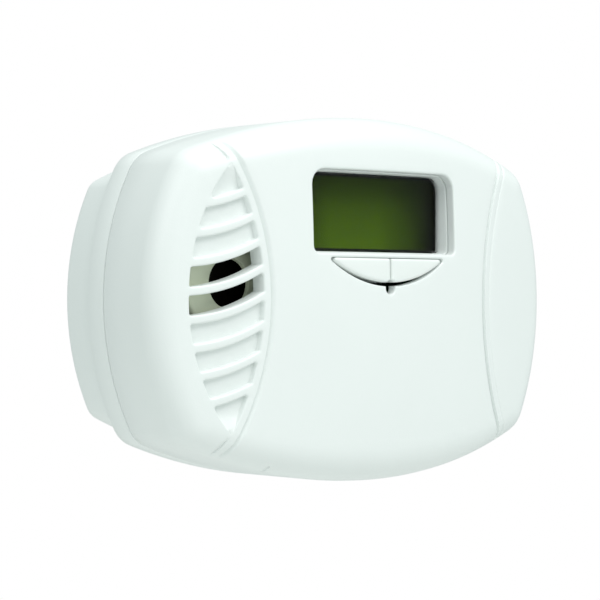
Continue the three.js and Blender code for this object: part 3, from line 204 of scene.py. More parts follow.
def front_at(x, z):
    return FRONT_Y + CROWN_SIDE * (x / HALF_WIDTH) ** 2 + CROWN_TOP * (z / HALF_HEIGHT) ** 2


def edge_round(normal_z, edge_x):
    middle = np.maximum(0, 1 - (edge_x / HALF_WIDTH) ** 2)
    return SIDE_ROUND + (TOP_ROUND - SIDE_ROUND) * normal_z**2 * middle


def rounding(inset, radius):
    """How far a rounded edge has fallen away at an inset from the side wall."""
    share = np.clip(1 - inset / radius, 0, 1)
    return radius * (1 - np.sqrt(1 - share**2))


def front_surface(x, z, sunk=0.0):
    inset, normal_z, edge_x = case_outline.inside(x, z)
    radius = np.maximum(edge_round(normal_z, edge_x) - sunk, 1)
    return front_at(x, z) + sunk + rounding(inset - sunk, radius)


def smooth(value, low, high):
    """A smooth step from 0 at low to 1 at high."""
    t = np.clip((value - low) / (high - low), 0, 1)
    return t * t * (3 - 2 * t)


def beyond(place, slope):
    """Where a slope starts and ends, measured from a place."""
    return place + slope[0], place + slope[1]


def bead_relief(x, z):
    """The grooves on both sides of each bead, which fade over the rounded edge."""
    inset, normal_z, edge_x = case_outline.inside(x, z)
    fade = smooth(inset / edge_round(normal_z, edge_x), *EDGE_FADE)
    past_grille = smooth(np.abs(z), *beyond(GRILLE_HALF, PAST_GRILLE))
    inner = BEAD_ARC - BEAD_WIDTH
    depth = np.zeros_like(x)
    for side in (-1, 1):
        r = np.hypot(-side * x - BEAD_CENTRE, z)
        steep = smooth(r, *beyond(BEAD_ARC, GROOVE_WALL))
        depth += GROOVE_DEPTH * steep * (1 - smooth(r, *beyond(BEAD_ARC, GROOVE_RISE)))
        fall = smooth(r, *beyond(inner, INNER_FALL))
        line = fall * (1 - smooth(r, *beyond(inner, INNER_RISE)))
        share = past_grille if side < 0 else 0.3 + 0.5 * past_grille
        depth += INNER_GROOVE_DEPTH * line * share
    return depth * fade


# ------------------------------------------------------------- closed loops


def meeting(a, b, hint):
    """Where two circles (x, z, radius) cross, on the side nearest the hint."""
    ax, az, ar = a
    bx, bz, br = b
    dx, dz = bx - ax, bz - az
    distance = math.hypot(dx, dz)
    reach = (distance**2 + ar**2 - br**2) / (2 * distance)
    across = math.sqrt(max(ar**2 - reach**2, 0))
    ux, uz = dx / distance, dz / distance
    spots = [
        (ax + ux * reach - uz * across * s, az + uz * reach + ux * across * s) for s in (-1, 1)
    ]
    return min(spots, key=lambda p: math.hypot(p[0] - hint[0], p[1] - hint[1]))


FAR = 1e4


def line_edge(x, z, direction):
    """A straight edge as a very large circle, with the inside on its left."""
    normal = direction + math.pi / 2
    return (x + FAR * math.cos(normal), z + FAR * math.sin(normal), FAR, 1)


def arc_points(centre, radius, angles):
    x, z = centre
    return np.array([(x + radius * math.cos(t), z + radius * math.sin(t)) for t in angles])


class ArcLoop:
    """A closed loop of arcs, anticlockwise, with a rounded corner after each.

    An edge is (x, z, radius, side): side 1 keeps the inside within its circle
    and -1 outside. An inset keeps every point's place along the loop.
    """

    def __init__(self, edges, hints, rounds, spacing=0.7, corner_points=5):
        self.edges, self.hints, self.rounds = edges, hints, rounds
        self.corner_points = corner_points
        self.counts = [1] * len(edges)
        spans = self._spans(0)
        self.counts = [max(2, int(abs(s[3] - s[2]) * s[1] / spacing)) for s in spans[0]]

    def _grown(self, k, inset):
        x, z, radius, side = self.edges[k % len(self.edges)]
        return x, z, radius - side * inset

    def _corner(self, k, inset):
        turn = self.rounds[k] if self.rounds[k] else inset
        return meeting(self._grown(k, turn), self._grown(k + 1, turn), self.hints[k])

    def _spans(self, inset):
        n = len(self.edges)
        spots = [self._corner(k, inset) for k in range(n)]
        sides, turns = [], []
        for k in range(n):
            x, z, radius = self._grown(k, inset)
            side = self.edges[k][3]
            start, end = spots[k - 1], spots[k]
            a = math.atan2(start[1] - z, start[0] - x)
            b = math.atan2(end[1] - z, end[0] - x)
            if side > 0 and b < a - 1e-9:
                b += 2 * math.pi
            if side < 0 and b > a + 1e-9:
                b -= 2 * math.pi
            sides.append(((x, z), radius, a, b))
            if self.rounds[k]:
                cx, cz = spots[k]
                nx, nz, _ = self._grown(k + 1, inset)
                next_side = self.edges[(k + 1) % n][3]
                p = math.atan2(side * (cz - z), side * (cx - x))
                q = math.atan2(next_side * (cz - nz), next_side * (cx - nx))
                if q < p:
                    q += 2 * math.pi
                turns.append(((cx, cz), self.rounds[k] - inset, p, q))
            else:
                turns.append(None)
        return sides, turns

    def loop(self, inset=0.0):
        points = []
        for (centre, radius, a, b), turn, count in zip(*self._spans(inset), self.counts):
            if turn is None:
                last = b - (b - a) / (2 * count)
                points.append(arc_points(centre, radius, [*np.linspace(a, b, count)[:-1], last]))
                continue
            points.append(arc_points(centre, radius, np.linspace(a, b, count, endpoint=False)))
            centre, radius, a, b = turn
            turned_through = np.linspace(a, b, self.corner_points, endpoint=False)
            points.append(arc_points(centre, radius, turned_through))
        return np.concatenate(points)


def rounded_box(low_x, high_x, low_z, high_z, low_round, high_round, spacing=0.7):
    edges = [
        line_edge(low_x, low_z, 0),
        line_edge(high_x, low_z, math.pi / 2),
        line_edge(high_x, high_z, math.pi),
        line_edge(low_x, high_z, -math.pi / 2),
    ]
    hints = [(high_x, low_z), (high_x, high_z), (low_x, high_z), (low_x, low_z)]
    return ArcLoop(edges, hints, [low_round, high_round, high_round, low_round], spacing)


class RoundLoop:
    """A circle with the same loop call as the other openings."""

    def __init__(self, x, z, radius, count=40):
        self.x, self.z, self.radius = x, z, radius
        self.turns = np.linspace(0, 2 * math.pi, count, endpoint=False)

    def loop(self, inset=0.0):
        reach = self.radius - inset
        return np.stack([
            self.x + reach * np.cos(self.turns), self.z + reach * np.sin(self.turns)
        ], 1)


window = rounded_box(
    -WINDOW_HALF, WINDOW_HALF, WINDOW_LOW, WINDOW_HIGH, WINDOW_LOW_CORNER, WINDOW_TOP_CORNER
)


def moon_loop():
    """The half-moon opening with the round notch for the indicator below."""
    centre_z = MOON_LOW + MOON_ARC
    half = math.sqrt(MOON_ARC**2 - (centre_z - MOON_TOP) ** 2)
    arc = (0, centre_z, MOON_ARC, 1)
    notch = (0, INDICATOR_Z, INDICATOR_RADIUS, 1)
    left = meeting(arc[:3], notch[:3], (-INDICATOR_RADIUS, MOON_LOW))
    right = (-left[0], left[1])
    return ArcLoop(
        [arc, notch, arc, line_edge(half, MOON_TOP, math.pi)],
        [left, right, (half, MOON_TOP), (-half, MOON_TOP)],
        [0, 0, 0.5, 0.5],
    )


moon = moon_loop()


def oval_arcs():
    right_arc = BEAD_ARC - BEAD_WIDTH
    apex_x = BEAD_CENTRE + math.sqrt(right_arc**2 - GRILLE_HALF**2)
    sagitta = apex_x - GRILLE_LEFT
    left_arc = (GRILLE_HALF**2 + sagitta**2) / (2 * sagitta)
    return (BEAD_CENTRE, 0, right_arc, 1), (GRILLE_LEFT + left_arc, 0, left_arc, 1), apex_x


OVAL_RIGHT, OVAL_LEFT, APEX_X = oval_arcs()


def bar_edge(bar, above):
    """The upper or lower edge of a bar, counted from 1 at the top."""
    middle_x = (GRILLE_LEFT + BEAD_X) / 2
    drop = math.sqrt(BAR_ARC**2 - BAR_TILT**2)
    z = BAR_TOP_Z - BAR_PITCH * (bar - 1) + drop
    return (middle_x - BAR_TILT, z + (BAR_WIDTH / 2 if above else -BAR_WIDTH / 2), BAR_ARC)


def bar_end(edge, side_arc, x, z):
    return meeting(edge[:3], side_arc[:3], (x, z))


def grille_slots():
    """Openings between the bars; slot k lies below bar k."""
    made = []
    for k in range(BAR_COUNT + 1):
        low_z = BAR_TOP_Z - BAR_PITCH * k
        edges, hints = [], []
        floor = (*bar_edge(k + 1, True), 1) if k < BAR_COUNT else None
        roof = (*bar_edge(k, False), -1) if k > 0 else None
        if floor:
            edges.append(floor)
            hints.append(bar_end(floor, OVAL_RIGHT, BEAD_X, low_z + 2))
        edges.append(OVAL_RIGHT)
        if roof:
            hints.append(bar_end(roof, OVAL_RIGHT, BEAD_X, low_z + BAR_PITCH + 2))
            edges.append(roof)
            hints.append(bar_end(roof, OVAL_LEFT, GRILLE_LEFT, low_z + BAR_PITCH - 2))
        else:
            hints.append((APEX_X, GRILLE_HALF))
        edges.append(OVAL_LEFT)
        hints.append(
            bar_end(floor, OVAL_LEFT, GRILLE_LEFT, low_z - 2) if floor else (APEX_X, -GRILLE_HALF)
        )
        rounds = [SLOT_CORNER] * len(edges)
        if not roof:
            rounds[1] = APEX_CORNER
        if not floor:
            rounds[-1] = APEX_CORNER
        made.append(ArcLoop(edges, hints, rounds, 0.8, 6))
    return made


slots = grille_slots()
pad_oval = ArcLoop(
    [OVAL_RIGHT, OVAL_LEFT], [(APEX_X, GRILLE_HALF), (APEX_X, -GRILLE_HALF)], [0, 0], 1.5
)

# ------------------------------------------------------------ mesh building


class Patchwork:
    """Vertices and faces gathered in millimetres, welded when finished."""

    def __init__(self):
        self.points, self.faces, self.count = [], [], 0

    def add(self, points, faces):
        self.points.append(np.asarray(points, float))
        self.faces += [tuple(i + self.count for i in face) for face in faces]
        self.count += len(points)

    def strips(self, loops):
        """Quads between closed loops with the same number of points."""
        n = len(loops[0])
        faces = []
        for row in range(len(loops) - 1):
            a, b = row * n, (row + 1) * n
            faces += [(a + k, a + (k + 1) % n, b + (k + 1) % n, b + k) for k in range(n)]
        self.add(np.concatenate(loops), faces)

    def cap(self, loop):
        self.add(loop, [tuple(range(len(loop)))])

    def finish(self, name, material, sharp=SHARP_ANGLE, weld=0.004):
        mesh = bpy.data.meshes.new(name)
        mesh.from_pydata((np.concatenate(self.points) * MM).tolist(), [], self.faces)
        tidy = bmesh.new()
        tidy.from_mesh(mesh)
        bmesh.ops.remove_doubles(tidy, verts=tidy.verts, dist=weld * MM)
        bmesh.ops.dissolve_degenerate(tidy, edges=tidy.edges, dist=0.0005 * MM)
        bmesh.ops.recalc_face_normals(tidy, faces=tidy.faces)
        tidy.to_mesh(mesh)
        tidy.free()
        return shown(name, mesh, material, sharp)


def shown(name, mesh, material, sharp=SHARP_ANGLE):
    """Adds a mesh to the scene, shaded smooth but for its sharp edges."""
    mesh.shade_smooth()
    mesh.set_sharp_from_angle(angle=math.radians(sharp))
    mesh.materials.clear()
    mesh.materials.append(material)
    return linked(name, mesh)


def linked(name, data):
    item = bpy.data.objects.new(name, data)
    bpy.context.scene.collection.objects.link(item)
    return item


def settle(piece, body, slot, *nodes):
    """Says which body carries a piece and hides the nodes it stands for; the finish it is given is
    not used.
    """
    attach(piece, body)
    if nodes:
        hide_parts(*nodes)


def lifted(loop, y):
    """A flat loop of (x, z) points as (x, y, z) points."""
    heights = np.broadcast_to(y, len(loop))
    return np.stack([loop[:, 0], heights, loop[:, 1]], 1)


def within(points, loop):
    """Which points lie inside a closed loop."""
    x, z = points[:, 0], points[:, 1]
    inside = np.zeros(len(points), bool)
    for (ax, az), (bx, bz) in zip(loop, np.roll(loop, -1, 0)):
        if az == bz:
            continue
        crosses = (az > z) != (bz > z)
        inside ^= crosses & (x < (bx - ax) * (z - az) / (bz - az) + ax)
    return inside


def spacing_grid(step, half_x=HALF_WIDTH, half_z=HALF_HEIGHT):
    """Points in staggered rows, a step apart."""
    rows = []
    for j, z in enumerate(np.arange(-half_z, half_z, step * 0.87)):
        x = np.arange(-half_x, half_x, step) + (step / 2 if j % 2 else 0)
        rows.append(np.stack([x, np.full_like(x, z)], 1))
    return np.concatenate(rows)


def clear_of(points, lines, distance):
    """Drops the points that are closer than a distance to any line's points."""
    taken = {}
    for p in np.concatenate(lines):
        taken.setdefault((int(p[0] // distance), int(p[1] // distance)), []).append(p)
    kept = []
    for p in points:
        i, j = int(p[0] // distance), int(p[1] // distance)
        cells = [(i + di, j + dj) for di in (-1, 0, 1) for dj in (-1, 0, 1)]
        near = (q for cell in cells for q in taken.get(cell, ()))
        if all(math.hypot(p[0] - q[0], p[1] - q[1]) > distance for q in near):
            kept.append(p)
    return np.array(kept)


def sheet_over(loops, lines, extra_points, holes, extra_drops=0.0):
    """Triangles that keep every loop and line as edges, without the holes.

    loops and lines are lists of (points, drop); points come back in their own
    precision with their drops, because the triangulation rounds them.
    """
    points, drops, edges = [], [], []
    start = 0
    for closed, group in ((True, loops), (False, lines)):
        for line, drop in group:
            n = len(line)
            points.append(line)
            drops.append(np.broadcast_to(drop, n))
            edges += [(start + k, start + k + 1) for k in range(n - 1)]
            edges += [(start + n - 1, start)] if closed else []
            start += n
    points.append(extra_points)
    drops.append(np.broadcast_to(extra_drops, len(extra_points)))
    points, drops = np.concatenate(points), np.concatenate(drops)
    out = delaunay_2d_cdt([Vector(p) for p in points], edges, [], 0, 1e-5)
    flat = np.array([points[o[0]] if o else tuple(v) for v, o in zip(out[0], out[3])])
    drop = np.array([drops[o[0]] if o else 0.0 for o in out[3]])
    faces = np.array(out[2])
    middle = flat[faces].mean(1)
    keep = np.ones(len(faces), bool)
    for hole in holes:
        keep &= ~within(middle, hole)
    return flat, drop, faces[keep].tolist()

# ------------------------------------------------------------- front cover


def face_rings(sunk=0.0):
    """Loops over the rounded edge, from the side wall up to the face."""
    s = case_outline.samples
    edge = case_outline.loop(0)
    radius = np.maximum(edge_round(np.abs(s[:, 4]), np.abs(edge[:, 0])) - sunk, 1)
    return [case_outline.loop(sunk + radius * (1 - math.cos(t))) for t in EDGE_TURNS]


def bead_lines():
    """Lines along the grooves, close together where the groove is steep."""
    start, end = beyond(GRILLE_HALF, (0.7, 17.2))
    inner = BEAD_ARC - BEAD_WIDTH
    outer_radii = BEAD_ARC + np.array([-0.16, -0.05, 0.06, 0.18, 0.34, 0.6, 0.9, 1.2, 1.5])
    inner_radii = inner + np.array([-0.8, -0.55, -0.35, -0.2, -0.06, 0.06, 0.16])
    lines = []
    for side in (-1, 1):
        for radii, past_only in ((outer_radii, False), (inner_radii, side < 0)):
            for r in radii:
                turn = np.arcsin(np.arange(-45, 45.01, 0.8) / r)
                x = (BEAD_CENTRE + r * np.cos(turn)) * (1 if side < 0 else -1)
                z = r * np.sin(turn)
                inset, normal_z, edge_x = case_outline.inside(x, z)
                keep = inset > 0.04 * edge_round(normal_z, edge_x)
                for low, high in ((-end, -start), (start, end)) if past_only else ((-end, end),):
                    run = keep & (z > low) & (z < high)
                    if run.sum() > 2:
                        lines.append(np.stack([x[run], z[run]], 1))
    return lines


def fillet_loops(opening, radius):
    """Loops around an opening's edge, each with how far the edge falls."""
    outs = radius * (1 - np.cos(np.radians([0, 18, 36, 54, 72, 90])))
    return [
        (opening.loop(-out), radius * (1 - math.sqrt(max(0, 1 - (1 - out / radius) ** 2))))
        for out in outs
    ]


WINDOW_FILLET, MOON_FILLET, BAR_FILLET = 0.6, 0.45, 0.5
SLOT_WALL = ((0.03, 0.9), (0.06, SLOT_DEPTH - 0.12), (0.1, SLOT_DEPTH - 0.03), (0.17, SLOT_DEPTH))
WALL_DRAFT = 0.08
FACE_STEP, INSIDE_STEP, FLOOR_STEP, BUTTON_STEP = 1.7, 4.0, 6.0, 1.2


def slot_drop(drop, z):
    """A slot's drop, which runs out towards the grille's two points."""
    return drop * (1 - 0.96 * smooth(np.abs(z), 0.8 * GRILLE_HALF, 0.985 * GRILLE_HALF))


def front_skin(cover):
    """The whole outer face: rounded edge, beads, and the slots' blind floors."""
    loops = [(ring, 0.0) for ring in face_rings()]
    loops += fillet_loops(window, WINDOW_FILLET)
    loops += fillet_loops(moon, MOON_FILLET)
    holes = [window.loop(0), moon.loop(0)]
    for k, slot in enumerate(slots):
        edges = fillet_loops(slot, BAR_FILLET)
        if k in OPEN_SLOTS:
            holes.append(slot.loop(0))
        else:
            edges += [(slot.loop(inset), drop) for inset, drop in SLOT_WALL]
        loops += [(edge, slot_drop(drop, edge[:, 1])) for edge, drop in edges]
    lines = [(line, 0.0) for line in bead_lines()]
    grid = spacing_grid(FACE_STEP)
    inset, normal_z, edge_x = case_outline.inside(grid[:, 0], grid[:, 1])
    grid = grid[inset > edge_round(normal_z, edge_x) + 0.6]
    grid = clear_of(grid, [points for points, _ in loops + lines], 0.95)
    blind = np.zeros(len(grid))
    for k, slot in enumerate(slots):
        if k not in OPEN_SLOTS:
            inside = within(grid, slot.loop(0))
            blind[inside] = slot_drop(SLOT_DEPTH, grid[inside, 1])
    flat, drop, faces = sheet_over(loops, lines, grid, holes, blind)
    x, z = flat[:, 0], flat[:, 1]
    y = front_surface(x, z) + bead_relief(x, z) + drop
    cover.add(np.stack([x, y, z], 1), faces)


def through_wall(cover, opening, fillet, depth):
    """The wall of a through opening, from its rounded edge to the inner skin."""
    top, back = opening.loop(0), opening.loop(WALL_DRAFT)
    top_y = front_surface(*top.T) + bead_relief(*top.T) + fillet
    back_y = front_surface(*back.T) + depth
    cover.strips([
        lifted(top + (back - top) * t, top_y + (back_y - top_y) * t) for t in (0, 0.35, 0.7, 1)
    ])


def inner_skin(cover):
    """The inside of the cover, thicker behind the grille."""
    loops = [(ring, 0.0) for ring in face_rings(WALL)[1:]]
    loops.append((case_outline.loop(WALL), 0.0))
    pad = GRILLE_DEPTH - WALL
    loops += [(pad_oval.loop(-GRILLE_PAD), pad), (pad_oval.loop(-GRILLE_PAD - 0.15), 0.0)]
    through = [window.loop(WALL_DRAFT), moon.loop(WALL_DRAFT)]
    loops += [(loop, 0.0) for loop in through]
    grille = [slots[k].loop(WALL_DRAFT) for k in OPEN_SLOTS]
    loops += [(loop, pad) for loop in grille]
    grid = spacing_grid(INSIDE_STEP)
    inset = case_outline.inside(grid[:, 0], grid[:, 1])[0]
    grid = clear_of(grid[inset > SIDE_ROUND + WALL + 2], [points for points, _ in loops], 1.6)
    flat, drop, faces = sheet_over(loops, [], grid, through + grille)
    in_pad = within(flat, pad_oval.loop(-GRILLE_PAD + 0.01))
    drop[in_pad] = pad
    x, z = flat[:, 0], flat[:, 1]
    y = front_at(x, z) + WALL
    inset, normal_z, edge_x = case_outline.inside(x, z)
    radius = np.maximum(edge_round(normal_z, edge_x) - WALL, 1)
    y += rounding(inset - WALL, radius) + drop
    cover.add(np.stack([x, y, z], 1), faces)


def cover_rim(cover):
    """The side wall, and the rim that meets the rear housing."""
    outer, inner = case_outline.loop(0), case_outline.loop(WALL)
    top_y = front_surface(*outer.T)
    s = case_outline.samples
    radius = np.maximum(edge_round(np.abs(s[:, 4]), np.abs(outer[:, 0])) - WALL, 1)
    inner_y = front_at(*inner.T) + WALL + radius
    cover.strips([
        lifted(outer, top_y),
        lifted(outer, (top_y + RIM_Y) / 2),
        lifted(outer, RIM_Y - SEAM_EDGE),
        lifted(case_outline.loop(EDGE_MIDDLE * SEAM_EDGE), RIM_Y - EDGE_MIDDLE * SEAM_EDGE),
        lifted(case_outline.loop(SEAM_EDGE), RIM_Y),
        lifted(inner, RIM_Y),
        lifted(inner, inner_y),
    ])


def notch_cutter():
    """A small block with a sloping end, for the pry notch under the front."""
    corners = [
        (NOTCH_X + sx * NOTCH_HALF, y, z)
        for y, roof in NOTCH_ROOF for z in (NOTCH_FOOT_Z, roof) for sx in (-1, 1)
    ]
    tool = bmesh.new()
    verts = [tool.verts.new(Vector(c) * MM) for c in corners]
    sides = (0, 1, 3, 2), (4, 6, 7, 5), (0, 4, 5, 1), (2, 3, 7, 6), (0, 2, 6, 4), (1, 5, 7, 3)
    for side in sides:
        tool.faces.new([verts[i] for i in side])
    bmesh.ops.recalc_face_normals(tool, faces=tool.faces)
    bmesh.ops.bevel(
        tool, geom=tool.edges, offset=NOTCH_EASE * MM, segments=3, affect="EDGES", profile=0.5
    )
    return as_mesh(tool)


def as_mesh(tool):
    mesh = bpy.data.meshes.new("cutter")
    tool.to_mesh(mesh)
    tool.free()
    return mesh


def evaluated(piece, step):
    """The piece's mesh with its one modifier applied, which is then removed."""
    graph = bpy.context.evaluated_depsgraph_get()
    mesh = bpy.data.meshes.new_from_object(piece.evaluated_get(graph))
    piece.modifiers.remove(step)
    return mesh


def carve(piece, cutter):
    """Takes a cutter's mesh away from a piece."""
    tool = linked("cutter", cutter)
    step = piece.modifiers.new("carve", "BOOLEAN")
    step.object, step.operation, step.solver = tool, "DIFFERENCE", "EXACT"
    piece.data = evaluated(piece, step)
    bpy.data.objects.remove(tool)
    piece.data.shade_smooth()
    piece.data.set_sharp_from_angle(angle=math.radians(SHARP_ANGLE))


def front_cover(material):
    cover = Patchwork()
    front_skin(cover)
    through_wall(cover, window, WINDOW_FILLET, WALL)
    through_wall(cover, moon, MOON_FILLET, WALL)
    for k in OPEN_SLOTS:
        through_wall(cover, slots[k], BAR_FILLET, GRILLE_DEPTH)
    inner_skin(cover)
    cover_rim(cover)
    piece = cover.finish("cover_shell", material)
    carve(piece, notch_cutter())
    settle(piece, "case", "case_plastic", "front_cover")


# ------------------------------------------------------------ rear housing

DOOR_TOP = box_mm("battery_door")[1][2]
BAY_HALF, BAY_LOW, BAY_HIGH = 28.85, -36.3, -4.9
BAY_FLOOR_Y, BAY_OUTER_Y = -17.75, -19.35
SCREW_X, SCREW_Z, SEAT_Y, BOSS_TOP_Y = 48.8, 25.5, -13.0, -18.0
POST_RADIUS, BOARD_POST_RADIUS = 4.2, 2.6
COUNTERBORE, SCREW_HOLE, BOSS_RADIUS = 3.4, 1.8, 5.0
BLADE_X, BLADE_Z, BLADE_THICK = 6.35, 14.0, 1.5
BLADE_WIDTHS = {1: 6.35, -1: 7.94}
BAY_WALL, BAY_CORNER, BAY_OUTER_CORNER = 0.8, 0.8, 1.2
THUMB_SIZE, THUMB_Y = (8.0, 1.3, 2.6), 0.3
WAIST_Y = -8.0
CORNERS = [(sx, sz) for sx in (-1, 1) for sz in (-1, 1)]

bay = rounded_box(-BAY_HALF, BAY_HALF, BAY_LOW, BAY_HIGH, BAY_CORNER, BAY_CORNER, 1.5)
bay_outer = rounded_box(
    -BAY_HALF - BAY_WALL, BAY_HALF + BAY_WALL, BAY_LOW - BAY_WALL, BAY_HIGH + BAY_WALL,
    BAY_OUTER_CORNER, BAY_OUTER_CORNER, 1.5,
)


def blade_slot(side):
    half_x = BLADE_THICK / 2 + SLIDE_GAP
    half_z = BLADE_WIDTHS[side] / 2 + SLIDE_GAP
    x = side * BLADE_X
    return rounded_box(x - half_x, x + half_x, BLADE_Z - half_z, BLADE_Z + half_z, 0.35, 0.35)


def back_fillet(opening, radius):
    """Loops round an opening in the wall face, with how far each lies in."""
    outs = radius * (1 - np.cos(np.radians([0, 30, 60, 90])))
    return [
        (opening.loop(-out), -radius * (1 - math.sqrt(max(0, 1 - (1 - out / radius) ** 2))))
        for out in outs
    ]


def wall_face(rear):
    """The face against the wall with its rounded edge and openings."""
    loops = []
    for t in EASE_TURNS:
        inset = BACK_DRAFT + BACK_ROUND * (1 - math.cos(t))
        loops.append((back_outline.loop(inset), -BACK_ROUND * (1 - math.sin(t))))
    cuts = [(bay, OPENING_EASE)] + [(blade_slot(side), SLOT_EASE) for side in (-1, 1)]
    wells = [RoundLoop(sx * SCREW_X, sz * SCREW_Z, COUNTERBORE) for sx, sz in CORNERS]
    cuts += [(well, OPENING_EASE) for well in wells]
    holes = []
    for opening, radius in cuts:
        loops += back_fillet(opening, radius)
        holes.append(opening.loop(0))
    grid = spacing_grid(INSIDE_STEP)
    inset = back_outline.inside(grid[:, 0], grid[:, 1])[0]
    grid = clear_of(grid[inset > BACK_ROUND + 2], [points for points, _ in loops], 2.0)
    flat, drop, faces = sheet_over(loops, [], grid, holes)
    rear.add(np.stack([flat[:, 0], drop, flat[:, 1]], 1), faces)


def inner_floor(rear):
    """The inside of the back wall, around the bay and the screw bosses."""
    openings = [bay_outer] + [blade_slot(side) for side in (-1, 1)]
    openings += [RoundLoop(sx * SCREW_X, sz * SCREW_Z, BOSS_RADIUS) for sx, sz in CORNERS]
    loops = [(back_outline.loop(BACK_WALL), 0.0)] + [(o.loop(0), 0.0) for o in openings]
    grid = spacing_grid(FLOOR_STEP)
    inset = back_outline.inside(grid[:, 0], grid[:, 1])[0]
    grid = clear_of(grid[inset > BACK_WALL + 2], [points for points, _ in loops], 2.0)
    flat, _, faces = sheet_over(loops, [], grid, [o.loop(0) for o in openings])
    rear.add(lifted(flat, -BACK_WALL), faces)


def bay_walls(rear):
    """The battery bay's walls and floor, inside and out."""
    inside = [lifted(bay.loop(0), y) for y in (-OPENING_EASE, WAIST_Y, BAY_FLOOR_Y)]
    rear.strips(inside)
    rear.cap(inside[-1])
    rear.strips([lifted(bay_outer.loop(0), -BACK_WALL), lifted(bay_outer.loop(0), BAY_OUTER_Y)])
    rear.cap(lifted(bay_outer.loop(0), BAY_OUTER_Y))


def screw_wells(rear):
    """Each case screw's sunk seat, its hole, and the boss around them."""
    for sx, sz in CORNERS:
        x, z = sx * SCREW_X, sz * SCREW_Z
        rings = [
            (COUNTERBORE, -OPENING_EASE), (COUNTERBORE, SEAT_Y), (SCREW_HOLE, SEAT_Y),
            (SCREW_HOLE, BOSS_TOP_Y), (BOSS_RADIUS, BOSS_TOP_Y), (BOSS_RADIUS, -BACK_WALL),
        ]
        rear.strips([lifted(RoundLoop(x, z, radius).loop(0), y) for radius, y in rings])


def flange(rear):
    """The tapering side, the flange of the cover's outline, and its lip."""
    fit, lip = WALL + GAP, WALL + GAP + LIP_THICKNESS
    inner_y = FLANGE_Y - BACK_WALL
    middle = EDGE_MIDDLE * FLANGE_FILLET
    rear.strips([
        lifted(back_outline.loop(BACK_DRAFT), -BACK_ROUND),
        lifted(back_outline.loop(BACK_DRAFT / 2), WAIST_Y),
        lifted(back_outline.loop(0), FLANGE_Y + FLANGE_FILLET),
        lifted(back_outline.loop(-middle), FLANGE_Y + middle),
        lifted(back_outline.loop(-FLANGE_FILLET), FLANGE_Y),
        lifted(case_outline.loop(FLANGE_EDGE), FLANGE_Y),
        lifted(case_outline.loop(EDGE_MIDDLE * FLANGE_EDGE), FLANGE_Y - EDGE_MIDDLE * FLANGE_EDGE),
        lifted(case_outline.loop(0), FLANGE_Y - FLANGE_EDGE),
        lifted(case_outline.loop(0), SEAM_Y + SEAM_EDGE),
        lifted(case_outline.loop(SEAM_EDGE_MIDDLE), SEAM_Y + SEAM_EDGE_MIDDLE),
        lifted(case_outline.loop(SEAM_EDGE), SEAM_Y),
        lifted(case_outline.loop(fit), SEAM_Y),
        lifted(case_outline.loop(fit), SEAM_Y - LIP_HEIGHT),
        lifted(case_outline.loop(lip), SEAM_Y - LIP_HEIGHT),
        lifted(case_outline.loop(lip), inner_y),
        lifted(back_outline.loop(BACK_WALL), inner_y),
        lifted(back_outline.loop(BACK_WALL), -BACK_WALL),
    ])


def thumb_cutter():
    """A shallow scoop above the door for a fingertip."""
    wide, deep, high = THUMB_SIZE
    tool = bmesh.new()
    bmesh.ops.create_uvsphere(tool, u_segments=64, v_segments=32, radius=1.0)
    for v in tool.verts:
        v.co = Vector((wide * v.co.x, deep * v.co.y + THUMB_Y, high * v.co.z + BAY_HIGH)) * MM
    return as_mesh(tool)


def rear_housing(material):
    rear = Patchwork()
    wall_face(rear)
    inner_floor(rear)
    bay_walls(rear)
    screw_wells(rear)
    for side in (-1, 1):
        slot = blade_slot(side).loop(0)
        rear.strips([lifted(slot, -SLOT_EASE), lifted(slot, -BACK_WALL)])
    flange(rear)
    piece = rear.finish("rear_shell", material)
    carve(piece, thumb_cutter())
    settle(piece, "case", "case_plastic", "rear_housing")


# ------------------------------------------------------------ battery door

PIN_Y, PIN_Z, BARREL, PIN_RADIUS, PIN_REACH = -2.2, -34.0, 1.5, 1.1, 1.1
DOOR_FACE_Y, DOOR_THICK, DOOR_EASE, DOOR_FOOT = -0.35, 2.0, 0.3, 1.0
TONGUE_HALF, TONGUE_THICK, TONGUE_ROOT, TONGUE_DEPTH = 7, 1.0, 0.8, 3.6
TONGUE_EASE, TONGUE_STRAIGHT = 0.25, 3.3
SMALL_CORNER = 0.3


def crossbar(low_x, high_x, radius, bevel=0.2, count=32):
    """A round bar on the hinge line, with eased ends."""
    turns = np.linspace(0, 2 * math.pi, count, endpoint=False)
    rings = [(low_x, radius - bevel), (low_x + bevel, radius)]
    rings += [(high_x - bevel, radius), (high_x, radius - bevel)]
    return [
        np.stack([np.full(count, x), PIN_Y + r * np.cos(turns), PIN_Z + r * np.sin(turns)], 1)
        for x, r in rings
    ]


